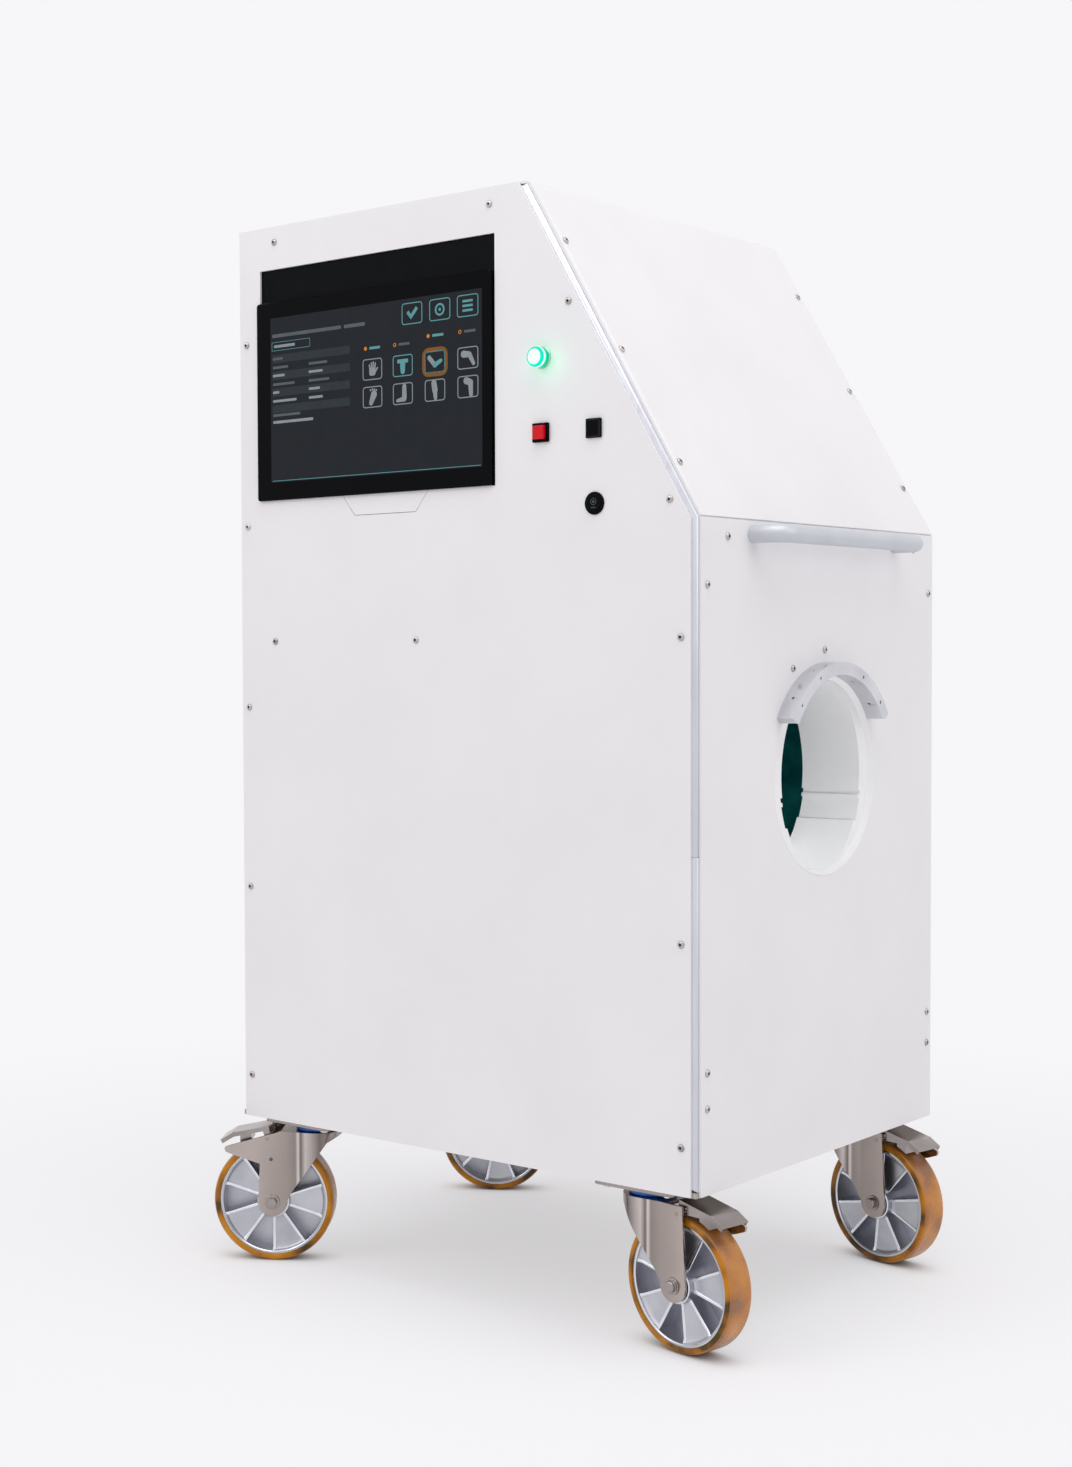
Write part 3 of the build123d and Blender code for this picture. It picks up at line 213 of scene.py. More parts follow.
EQUIPMENT = mottled("equipment_paint", srgb(88, 91, 96), srgb(106, 109, 114), (0.42, 0.55), 10.0, 0.12, 900.0)
SEAL = mottled("seal_blue_moulding", srgb(6, 88, 200), srgb(20, 116, 230), (0.22, 0.34), 40.0,
               Coat_Weight=0.3)
RED = mottled("button_red_lens", srgb(206, 4, 24), srgb(226, 12, 34), (0.2, 0.3), 90.0,
              Specular_IOR_Level=0.25)


def upright_shine(tree, shader):
    """Pressed steel's roughness, in fine upright lines."""
    lines = noise(tree, place(tree, (1, 1, 0.05)), 420.0, 2.0)
    tree.links.new(spread(tree, lines, 0.19, 0.23), shader.inputs["Roughness"])


def steel_material():
    """Pressed steel of the casters: a warm tint that drifts slowly, its shine in fine upright lines."""
    m, tree, shader = new_material("pressed_steel", Metallic=1.0)
    zones = noise(tree, place(tree), 9.0, 1.0, 0.4)
    tints = [(0.30, srgb(134, 126, 122)), (0.50, srgb(164, 157, 154)), (0.70, srgb(150, 142, 138))]
    tree.links.new(ramp(tree, zones, tints), shader.inputs["Base Color"])
    upright_shine(tree, shader)
    return m


def fork_painted_light_steel(corner):
    """The pressed steel of one fork, with painted highlights and painted shade: upright bands of light and
    dark tints at set places along the trail, where its bends would catch and lose the light.
    """
    m, tree, shader = new_material("fork_steel_painted_bands_" + corner, Metallic=1.0)
    centre = Vector(joints["swivel_turn_" + corner]["pos_m"])
    axle = Vector(joints["wheel_roll_" + corner]["axis"]).normalized()
    trail = axle.cross(Vector((0, 0, 1)))
    coord = tree.nodes.new("ShaderNodeTexCoord")
    along = tree.nodes.new("ShaderNodeVectorMath")
    along.operation = "DOT_PRODUCT"
    along.inputs[1].default_value = trail
    tree.links.new(coord.outputs["Object"], along.inputs[0])
    start = trail.dot(centre)
    first, last = -62, 100
    where = spread(tree, along.outputs["Value"], 0.0, 1.0, start + first * MM, start + last * MM)
    # painted highlights and painted shade: light and dark tints, in mm along the trail, for the bright
    # stripes and dark edges of the fork's bends
    stops = [(-62, (88, 82, 80)), (-50, (146, 136, 132)), (-38, (182, 172, 168)), (-22, (150, 139, 135)),
             (-10, (122, 114, 111)), (4, (178, 169, 165)), (14, (204, 196, 193)), (22, (118, 109, 105)),
             (26, (220, 212, 208)), (31, (150, 141, 137)), (46, (166, 156, 151)), (72, (176, 165, 160)),
             (98, (188, 177, 171))]
    painted_light_bands = ramp(tree, where, [((x - first) / (last - first), srgb(*tint)) for x, tint in stops])
    drift = noise(tree, place(tree), 11.0, 2.0, 0.4)
    slow = ramp(tree, drift, [(0.3, (0.88, 0.87, 0.86, 1)), (0.7, (1, 1, 1, 1))])
    mix = tree.nodes.new("ShaderNodeMix")
    mix.data_type = "RGBA"
    mix.blend_type = "MULTIPLY"
    mix.inputs["Factor"].default_value = 1.0
    tree.links.new(painted_light_bands, mix.inputs["A"])
    tree.links.new(slow, mix.inputs["B"])
    tree.links.new(mix.outputs["Result"], shader.inputs["Base Color"])
    upright_shine(tree, shader)
    return m


def cast_material():
    """Cast aluminium of the wheel centres, its skin slightly grainy."""
    m, tree, shader = new_material("cast_aluminium", Metallic=1.0)
    vector = place(tree)
    zones = noise(tree, vector, 14.0, 2.0)
    tint = ramp(tree, zones, [(0.32, srgb(178, 180, 188)), (0.68, srgb(204, 205, 212))])
    tree.links.new(tint, shader.inputs["Base Color"])
    tree.links.new(spread(tree, zones, 0.34, 0.42), shader.inputs["Roughness"])
    bumped(tree, shader, noise(tree, vector, 900.0, 3.0), 0.08, 0.0002)
    return m


def tyre_material(name, tints, relief, **sockets):
    """Amber polyurethane: zones of three tints, and fine scuffs."""
    m, tree, shader = new_material(name, **sockets)
    shader.inputs["Subsurface Weight"].default_value = 0.05
    shader.inputs["Subsurface Radius"].default_value = (0.006, 0.003, 0.001)
    vector = place(tree)
    zones = noise(tree, vector, 19.0, 2.0, 0.45)
    low, middle, high = tints
    tint = ramp(tree, zones, [(0.34, low), (0.47, middle), (0.64, high)])
    tree.links.new(tint, shader.inputs["Base Color"])
    scuffs = noise(tree, vector, 160.0, 4.0, 0.6)
    tree.links.new(spread(tree, scuffs, 0.24, 0.38), shader.inputs["Roughness"])
    bumped(tree, shader, scuffs, relief, 0.0002)
    return m


def collar_material():
    """Machined aluminium with turning marks round the bore."""
    m, tree, shader = new_material("collar_turned", Metallic=1.0)
    low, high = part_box("coil_former")
    middle = (low + high) / 2
    coord = tree.nodes.new("ShaderNodeTexCoord")
    mapping = tree.nodes.new("ShaderNodeMapping")
    mapping.inputs["Location"].default_value = (0, -middle.y, -middle.z)
    tree.links.new(coord.outputs["Object"], mapping.inputs["Vector"])
    flat = tree.nodes.new("ShaderNodeVectorMath")
    flat.operation = "MULTIPLY"
    flat.inputs[1].default_value = (0, 1, 1)
    tree.links.new(mapping.outputs["Vector"], flat.inputs[0])
    radius = tree.nodes.new("ShaderNodeVectorMath")
    radius.operation = "LENGTH"
    tree.links.new(flat.outputs["Vector"], radius.inputs[0])
    rings = tree.nodes.new("ShaderNodeTexNoise")
    rings.noise_dimensions = "1D"
    rings.inputs["Scale"].default_value = 2600.0
    tree.links.new(radius.outputs["Value"], rings.inputs["W"])
    slow = noise(tree, place(tree), 14.0, 3.0)
    tint = ramp(tree, slow, [(0.3, srgb(202, 203, 208)), (0.7, srgb(219, 219, 224))])
    tree.links.new(tint, shader.inputs["Base Color"])
    tree.links.new(spread(tree, rings.outputs["Fac"], 0.27, 0.33), shader.inputs["Roughness"])
    bumped(tree, shader, rings.outputs["Fac"], 0.03, 0.0001)
    return m


STEEL = steel_material()
CAST = cast_material()
TYRE = tyre_material("amber_side", (srgb(82, 58, 4), srgb(184, 116, 0), srgb(212, 142, 0)), 0.04,
                     Specular_IOR_Level=0.3, Coat_Weight=0.08)
TREAD = tyre_material("amber_tread", (srgb(152, 104, 66), srgb(188, 120, 50), srgb(206, 142, 68)), 0.05,
                      Coat_Weight=0.12)
RIM = mottled("rim_turned", srgb(222, 224, 232), srgb(236, 238, 244), (0.20, 0.28), 50.0, Metallic=1.0)
COLLAR = collar_material()

SLATE = glowing("screen_slate", srgb(27, 31, 37))
STRIP = glowing("screen_strip", srgb(44, 51, 57))
TEAL = glowing("screen_teal", srgb(92, 152, 156))
GREY = glowing("screen_grey", srgb(138, 146, 152))
DIM = glowing("screen_dim", srgb(86, 93, 99))
AMBER = glowing("screen_amber", srgb(214, 130, 30))
HALO = glowing("screen_amber_halo", srgb(128, 82, 32))
LAMP_WHITE = glowing("lamp_front", (0.96, 1.0, 0.98, 1.0), 0.9, base=(0.1, 0.1, 0.1, 1.0), vary=0.04)
LAMP_RING = glowing("lamp_ring", srgb(8, 240, 204), base=(0.0, 0.05, 0.03, 1.0), vary=0.06)
LAMP_SIDE = glowing("lamp_side", srgb(8, 196, 118), base=(0.0, 0.08, 0.04, 1.0), vary=0.2)
LAMP_BEZEL = drawn("lamp_bezel_metal", srgb(150, 190, 176), srgb(196, 224, 214), (0.2, 0.32), (1, 1, 1))

SLOT_MATERIALS = {
    "panel_white": PANEL, "frame_aluminium": TRIM, "zinc_steel": ZINC, "handle_aluminium": HANDLE,
    "black_plastic": BLACK, "screen_glass": GLASS, "lamp_bezel": LAMP_BEZEL, "lamp_green": LAMP_RING,
    "button_red": RED, "liner_white": LINER, "collar_aluminium": COLLAR, "former_teal": FORMER,
    "magnet_steel": MAGNET, "painted_steel": PAINTED, "equipment_grey": EQUIPMENT, "fork_steel": STEEL,
    "seal_blue": SEAL, "wheel_aluminium": CAST, "tyre_amber": TYRE,
}
for name, obj in nodes.items():
    obj.data.materials.clear()
    obj.data.materials.append(SLOT_MATERIALS[slots[name]])
for corner in CORNERS:
    nodes["fork_" + corner].data.materials[0] = fork_painted_light_steel(corner)


# Mesh helpers: every new piece is made of closed forms, in metres, where the solids are


def new_object(name, data):
    """An object in the scene that holds the data."""
    obj = bpy.data.objects.new(name, data)
    bpy.context.scene.collection.objects.link(obj)
    return obj


def rounded(u, v, width, height, corner, steps=5):
    """Outline of a rounded rectangle about its middle."""
    flat = []
    for su, sv, start in ((1, 1, 0), (-1, 1, 90), (-1, -1, 180), (1, -1, 270)):
        cu = u + su * (width / 2 - corner)
        cv = v + sv * (height / 2 - corner)
        for k in range(steps + 1):
            turn = math.radians(start + 90 * k / steps)
            flat.append((cu + corner * math.cos(turn), cv + corner * math.sin(turn)))
    return flat


class Piece:
    """A mesh in the making, with one material index per face."""

    def __init__(self, name, materials):
        self.name = name
        self.materials = materials
        self.vertices = []
        self.faces = []
        self.marks = []

    def add(self, points, faces, mark=0):
        """Points and faces of one closed form, all with one material, or one mark per face."""
        start = len(self.vertices)
        self.vertices += [Vector(p) for p in points]
        self.faces += [[start + i for i in face] for face in faces]
        self.marks += mark if isinstance(mark, list) else [mark] * len(faces)

    def tube(self, loops, mark=0):
        """A closed form through several outlines with as many points."""
        count, last = len(loops[0]), (len(loops) - 1) * len(loops[0])
        faces = [list(range(count))[::-1], [last + i for i in range(count)]]
        for k in range(len(loops) - 1):
            low, high = k * count, (k + 1) * count
            for i in range(count):
                j = (i + 1) % count
                faces.append([low + i, low + j, high + j, high + i])
        self.add([p for loop in loops for p in loop], faces, mark)

    def prism(self, outline, back, front, mark=0):
        """A closed plate with the outline's points at the back and the front."""
        self.tube([[p + back for p in outline], [p + front for p in outline]], mark)

    def turned(self, profile, spot, start=0.0, sweep=360.0, steps=96, marks=None):
        """A closed profile of (radius, height) points turned through an angle in degrees."""
        whole = sweep > 359.9
        count, rows = len(profile), steps if whole else steps + 1
        points = [spot(r, start + sweep * i / steps, h) for i in range(rows) for r, h in profile]
        faces, face_marks = [], []
        for i in range(steps):
            j = (i + 1) % rows
            for k in range(count):
                n = (k + 1) % count
                faces.append([i * count + k, i * count + n, j * count + n, j * count + k])
                face_marks.append(marks[k] if marks else 0)
        if not whole:
            last = (rows - 1) * count
            faces += [list(range(count))[::-1], [last + k for k in range(count)]]
            face_marks += [0, 0]
        self.add(points, faces, face_marks)

    def ring(self, outer, inner, back, front, mark=0):
        """A closed band between two outlines with as many points."""
        count = len(outer)
        points = [p + shift for shift in (back, front) for loop in (outer, inner) for p in loop]
        faces = []
        for i in range(count):
            j = (i + 1) % count
            faces.append([i, count + i, count + j, j])
            faces.append([2 * count + i, 2 * count + j, 3 * count + j, 3 * count + i])
            faces.append([i, j, 2 * count + j, 2 * count + i])
            faces.append([count + i, 3 * count + i, 3 * count + j, count + j])
        self.add(points, faces, mark)

    def lathe(self, profile, origin, axis, sides=32, marks=None):
        """A closed form turned about an axis; the profile's (radius, height) points start and end on it."""
        axis = Vector(axis).normalized()
        across = axis.orthogonal().normalized()
        other = axis.cross(across)
        points, faces, face_marks, rows = [], [], [], []
        for radius, height in profile:
            centre = Vector(origin) + axis * height
            row = []
            if radius < 1e-9:
                points.append(centre)
                row = [len(points) - 1] * sides
            else:
                for i in range(sides):
                    turn = 2 * math.pi * i / sides
                    points.append(centre + radius * (math.cos(turn) * across + math.sin(turn) * other))
                    row.append(len(points) - 1)
            rows.append(row)
        for k, (low, high) in enumerate(zip(rows, rows[1:])):
            for i in range(sides):
                j = (i + 1) % sides
                face = []
                for index in (low[i], low[j], high[j], high[i]):
                    if index not in face:
                        face.append(index)
                if len(face) > 2:
                    faces.append(face)
                    face_marks.append(marks[k] if marks else 0)
        self.add(points, faces, face_marks)

    def build(self, body, smooth=40.0, replaces=()):
        """Makes the object, riding on a body, with edges sharper than an angle in degrees kept sharp."""
        mesh = bpy.data.meshes.new(self.name)
        mesh.from_pydata([tuple(v) for v in self.vertices], [], self.faces)
        for m in self.materials:
            mesh.materials.append(m)
        for polygon, mark in zip(mesh.polygons, self.marks):
            polygon.material_index = mark
            polygon.use_smooth = True
        bm = bmesh.new()
        bm.from_mesh(mesh)
        bmesh.ops.recalc_face_normals(bm, faces=bm.faces)
        bm.to_mesh(mesh)
        bm.free()
        mesh.set_sharp_from_angle(angle=math.radians(smooth))
        obj = new_object(self.name, mesh)
        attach(obj, body)
        if replaces:
            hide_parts(*replaces)


# Small round edges, for the highlights that real edges have: width in mm, segments and nodes

SOFT_EDGES = (
    (0.5, 2, PANELS),
    (0.4, 2, ("lower_frame", "upper_frame")),
    (0.8, 3, ("bore_collar",)),
    (0.8, 2, ("monitor_housing",)),
    (0.4, 2, ("red_button_bezel",)),
    (0.5, 2, ("black_insert",)),
    (1.2, 3, ["fork_" + corner for corner in CORNERS]),
    (0.8, 2, [kind + corner for kind in ("axle_", "brake_pedal_", "caster_plate_") for corner in CORNERS]),
)


def soften(name, width, segments):
    """Rounds a node's edges, once its coinciding points are welded and its flat faces joined."""
    obj = nodes[name]
    weld = obj.modifiers.new("weld", "WELD")
    weld.merge_threshold = 1e-5
    flat = obj.modifiers.new("flat", "DECIMATE")
    flat.decimate_type = "DISSOLVE"
    flat.angle_limit = math.radians(0.5)
    bevel = obj.modifiers.new("edges", "BEVEL")
    bevel.width = width
    bevel.segments = segments
    bevel.limit_method = "ANGLE"
    bevel.angle_limit = math.radians(30.0)
    bevel.harden_normals = True
    bevel.miter_outer = "MITER_ARC"


for width, segments, names in SOFT_EDGES:
    for name in names:
        soften(name, width * MM, segments)


# Fasteners, one head at each solid of the node that they replace


def islands(name):
    """The separate solids of a CAD node, each as a list of its corner points."""
    bm = bmesh.new()
    bm.from_mesh(nodes[name].data)
    bmesh.ops.remove_doubles(bm, verts=bm.verts, dist=1e-6)
    bm.verts.ensure_lookup_table()
    seen, found = set(), []
    for v in bm.verts:
        if v in seen:
            continue
        group, open_ends = [], [v]
        seen.add(v)
        while open_ends:
            w = open_ends.pop()
            group.append(w.co.copy())
            for e in w.link_edges:
                o = e.other_vert(w)
                if o not in seen:
                    seen.add(o)
                    open_ends.append(o)
        found.append(group)
    bm.free()
    return found


slope_low, slope_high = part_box("slope_panel")
SLOPE_FACE = Vector((slope_high.z - slope_low.z, 0, slope_high.x - slope_low.x)).normalized()
FACES = [Vector(a) for a in ((0, -1, 0), (0, 1, 0), (1, 0, 0), (-1, 0, 0), (0, 0, 1))] + [SLOPE_FACE]


def fastener_place(points, directions, head_radius):
    """Where a fastener's head sits and the way it faces, from its solid."""
    centre = sum(points, Vector()) / len(points)
    best = None
    for d in directions:
        along = [(p - centre).dot(d) for p in points]
        away = max(((p - centre) - (p - centre).dot(d) * d).length for p in points)
        head_is_nearer = max(along) < -min(along)
        misfit = abs(away - head_radius) + (0 if head_is_nearer else 1)
        if best is None or misfit < best[0]:
            best = (misfit, d, max(along))
    _, d, top = best
    return centre + d * top, d


def screw_heads():
    """Domed screws with round sockets, one at each screw of the panels."""
    piece = Piece("panel_screw_heads", [SCREW, PAINTED_SHADE_SOCKET])
    radius, height, brim, shank, length = 5.5 * MM, 3.0 * MM, 0.5 * MM, 3.0 * MM, 16 * MM
    socket = 2.1 * MM
    crown = socket * 1.2
    for points in islands("panel_screws"):
        top, axis = fastener_place(points, FACES, radius)
        seat = top - axis * height
        profile = [(0, -length), (shank, -length), (shank, 0), (radius, 0), (radius, brim)]
        for k in range(1, 6):
            turn = math.radians(90 * k / 6)
            across = crown + (radius - crown) * math.cos(turn)
            profile.append((across, brim + (height - brim) * math.sin(turn)))
        profile += [(socket * 1.12, height), (socket, height - 0.3 * MM), (socket, 1.0 * MM), (0, 0.8 * MM)]
        # the socket's wall and floor take the near-black material, painted shade in the recess
        marks = [0] * (len(profile) - 3) + [1, 1]
        piece.lathe(profile, seat, axis, 24, marks)
    piece.build("cabinet", 35.0, ["panel_screws"])


def bolt_heads():
    """Low domed heads on washers, one at each bolt of the caster plates, brighter than the plates."""
    piece = Piece("caster_bolt_heads", [RIM])
    radius, height, washer, sheet = 7.4 * MM, 5.0 * MM, 8.7 * MM, 1.2 * MM
    shank, length, dent = 5.0 * MM, 13.7 * MM, 0.9 * MM
    for points in islands("caster_bolts"):
        low = min(p.z for p in points)
        middle = sum(points, Vector()) / len(points)
        profile = [(0, length), (shank, length), (shank, 0), (washer, 0), (washer, -sheet), (radius, -sheet)]
        for k in range(1, 5):
            turn = math.radians(90 * k / 5)
            across = radius * (0.62 + 0.38 * math.cos(turn))
            profile.append((across, -sheet - (height - sheet) * math.sin(turn)))
        profile += [(radius * 0.5, -height), (radius * 0.42, dent - height), (0, dent - height)]
        piece.lathe(profile, (middle.x, middle.y, low + height), (0, 0, 1), 24)
    piece.build("cabinet", 35.0, ["caster_bolts"])


screw_heads()
bolt_heads()


# Wheels: cast centres with near and far web plates between ribs, in tyres with round shoulders.
# Radii and heights along the axle are in mm, angles in degrees.

SPOKE_TURN = {"bore_front": 12.0, "bore_rear": 24.0, "side_front": 18.0, "side_rear": 6.0}
RIM_OUTER, RIM_WALL, RIM_EDGE, RIM_HALF = 89.9, 84.0, 85.6, 22.5
HUB_BORE, HUB_RADIUS, HUB_HALF = 10.05, 27.0, 29.0
PLATES, PLATE_ANGLE = 10, 36.0
PLATE_INNER, PLATE_OUTER = 12.0, 16.0
RIB_HALF, RIB_THICK, RIB_ROUND = 17.4, 5.4, 1.5
TYRE_INNER, TYRE_OUTER, TYRE_HALF, TYRE_ROUND = 90.0, 100.0, 25.0, 8.0


def wheel_spot(corner):
    """Maps a wheel's (radius, angle in degrees, height along its axle), in mm, to its place at rest."""
    joint = joints["wheel_roll_" + corner]
    centre, axle = Vector(joint["pos_m"]), Vector(joint["axis"]).normalized()
    up = Vector((0, 0, 1))
    trail = axle.cross(up)
    turn = SPOKE_TURN[corner]

    def spot(radius, angle, height):
        a = math.radians(angle - turn)
        return centre + (math.cos(a) * trail + math.sin(a) * up) * radius * MM + axle * height * MM
    return spot


def both_ends(half):
    """A half profile from its middle outwards, mirrored to run from one end to the other."""
    return [(r, -h) for r, h in half[::-1]] + half


def marked_both_ends(profile, first_half):
    """Marks 1 for these rows of a mirrored profile's first half, and for their likes at its other end."""
    marks = [0] * len(profile)
    for k in first_half:
        marks[k] = marks[len(profile) - 2 - k] = 1
    return marks


def wheel_centre(corner):
    """A turned rim and hub, ten web plates by turns near and far, and a rib between each two."""
    spot = wheel_spot(corner)
    piece = Piece("wheel_cast_" + corner, [CAST, RIM])
    rim = both_ends([(RIM_WALL, 14.0), (RIM_WALL + 0.5, 21.0), (RIM_EDGE - 0.5, RIM_HALF - 0.8),
                     (RIM_EDGE + 0.4, RIM_HALF), (RIM_OUTER - 1.6, RIM_HALF), (RIM_OUTER, RIM_HALF - 0.4)])
    piece.turned(rim, spot, marks=marked_both_ends(rim, (8, 10)))
    hub = both_ends([(HUB_RADIUS + 0.8, 18.0), (HUB_RADIUS, 22.0), (HUB_RADIUS, HUB_HALF - 1.2),
                     (HUB_RADIUS - 1.2, HUB_HALF), (22.5, HUB_HALF), (21.8, HUB_HALF - 0.6),
                     (21.4, HUB_HALF - 2.5), (14.0, HUB_HALF - 2.5), (13.4, HUB_HALF - 0.5),
                     (HUB_BORE, HUB_HALF - 0.5)])
    piece.turned(hub, spot, steps=48, marks=marked_both_ends(hub, (12, 13, 14)))
    plate = [(25.0, PLATE_INNER), (25.0, 19.4), (27.4, 18.6), (29.0, 17.2), (32.0, 16.3),
             (38.0, PLATE_OUTER), (74.0, PLATE_OUTER), (79.0, 16.3), (81.6, 17.2), (83.2, 18.8),
             (84.0, 21.0), (85.0, 21.0), (85.0, PLATE_INNER)]
    for k in range(PLATES):
        side = -1 if k % 2 == 0 else 1
        piece.turned([(r, side * h) for r, h in plate], spot, PLATE_ANGLE * k, PLATE_ANGLE, 9)
        ends = []
        for radius, thick, half in ((25.0, RIB_THICK + 1.0, RIB_HALF + 1.2), (31.0, RIB_THICK, RIB_HALF),
                                    (77.0, RIB_THICK, RIB_HALF), (85.0, RIB_THICK + 1.4, RIB_HALF + 2.6)):
            loop = []
            for u, v in rounded(0, 0, thick, 2 * half, RIB_ROUND, 3):
                angle = PLATE_ANGLE * k + math.degrees(math.atan2(u, radius))
                loop.append(spot(math.hypot(radius, u), angle, v))
            ends.append(loop)
        # the faces round the two narrow ends of the rib's outline take the brighter turned-metal material, as
        # painted highlights on the rib tops
        count = len(ends[0])
        edge = [1 if abs(i % (count // 2) - count / 4 + 0.5) < 2.6 else 0 for i in range(count)]
        piece.tube(ends, [0, 0] + edge * (len(ends) - 1))
    piece.build("wheel_" + corner, 32.0, ["wheel_centre_" + corner])


def tyre(corner):
    """A tyre whose tread has its own material between the two round shoulders."""
    spot = wheel_spot(corner)
    piece = Piece("tyre_moulded_" + corner, [TYRE, TREAD])
    crown = TYRE_OUTER - TYRE_ROUND
    half = [(TYRE_OUTER, 4.0), (TYRE_OUTER, 10.0)]
    for k in range(9):
        turn = math.radians(90 - 90 * k / 8)
        half.append((crown + TYRE_ROUND * math.sin(turn), TYRE_HALF - TYRE_ROUND * (1 - math.cos(turn))))
    half += [(TYRE_INNER + 0.6, TYRE_HALF), (TYRE_INNER, TYRE_HALF - 0.6)]
    profile = both_ends(half)
    marks = [1 if min(profile[k][0], profile[(k + 1) % len(profile)][0]) > crown + 5.0 else 0
             for k in range(len(profile))]
    piece.turned(profile, spot, steps=120, marks=marks)
    piece.build("wheel_" + corner, 40.0, ["tyre_" + corner])


for corner in CORNERS:
    wheel_centre(corner)
    tyre(corner)


# The screen's picture, drawn as thin plates on the glass; sizes are in mm


class Drawing:
    """Flat forms on the screen, in millimetres from the lower left corner of its lit area."""

    def __init__(self, piece, corner, face):
        self.piece = piece
        self.corner = corner
        self.face = face

    def points(self, flat):
        """An outline's points on the glass."""
        return [Vector((self.corner.x + u * MM, self.face, self.corner.z + v * MM)) for u, v in flat]

    def shifts(self, level):
        """From the glass to a form's back and front; a higher level lies in front of a lower one."""
        return Vector((0, 0.02 * MM, 0)), Vector((0, -(0.06 + 0.05 * level) * MM, 0))

    def plate(self, flat, mark, level=1):
        """A filled form."""
        self.piece.prism(self.points(flat), *self.shifts(level), mark)

    def frame(self, flat, inner, mark, level=1):
        """A form with an opening."""
        self.piece.ring(self.points(flat), self.points(inner), *self.shifts(level), mark)


def capsule(start, end, r1, r2):
    """Outline of a limb: two round ends joined by straight sides."""
    turn = math.atan2(end[1] - start[1], end[0] - start[0])
    flat, steps = [], 8
    for (u, v), r, first in ((end, r2, -90), (start, r1, 90)):
        for k in range(steps + 1):
            a = turn + math.radians(first + 180 * k / steps)
            flat.append((u + r * math.cos(a), v + r * math.sin(a)))
    return flat


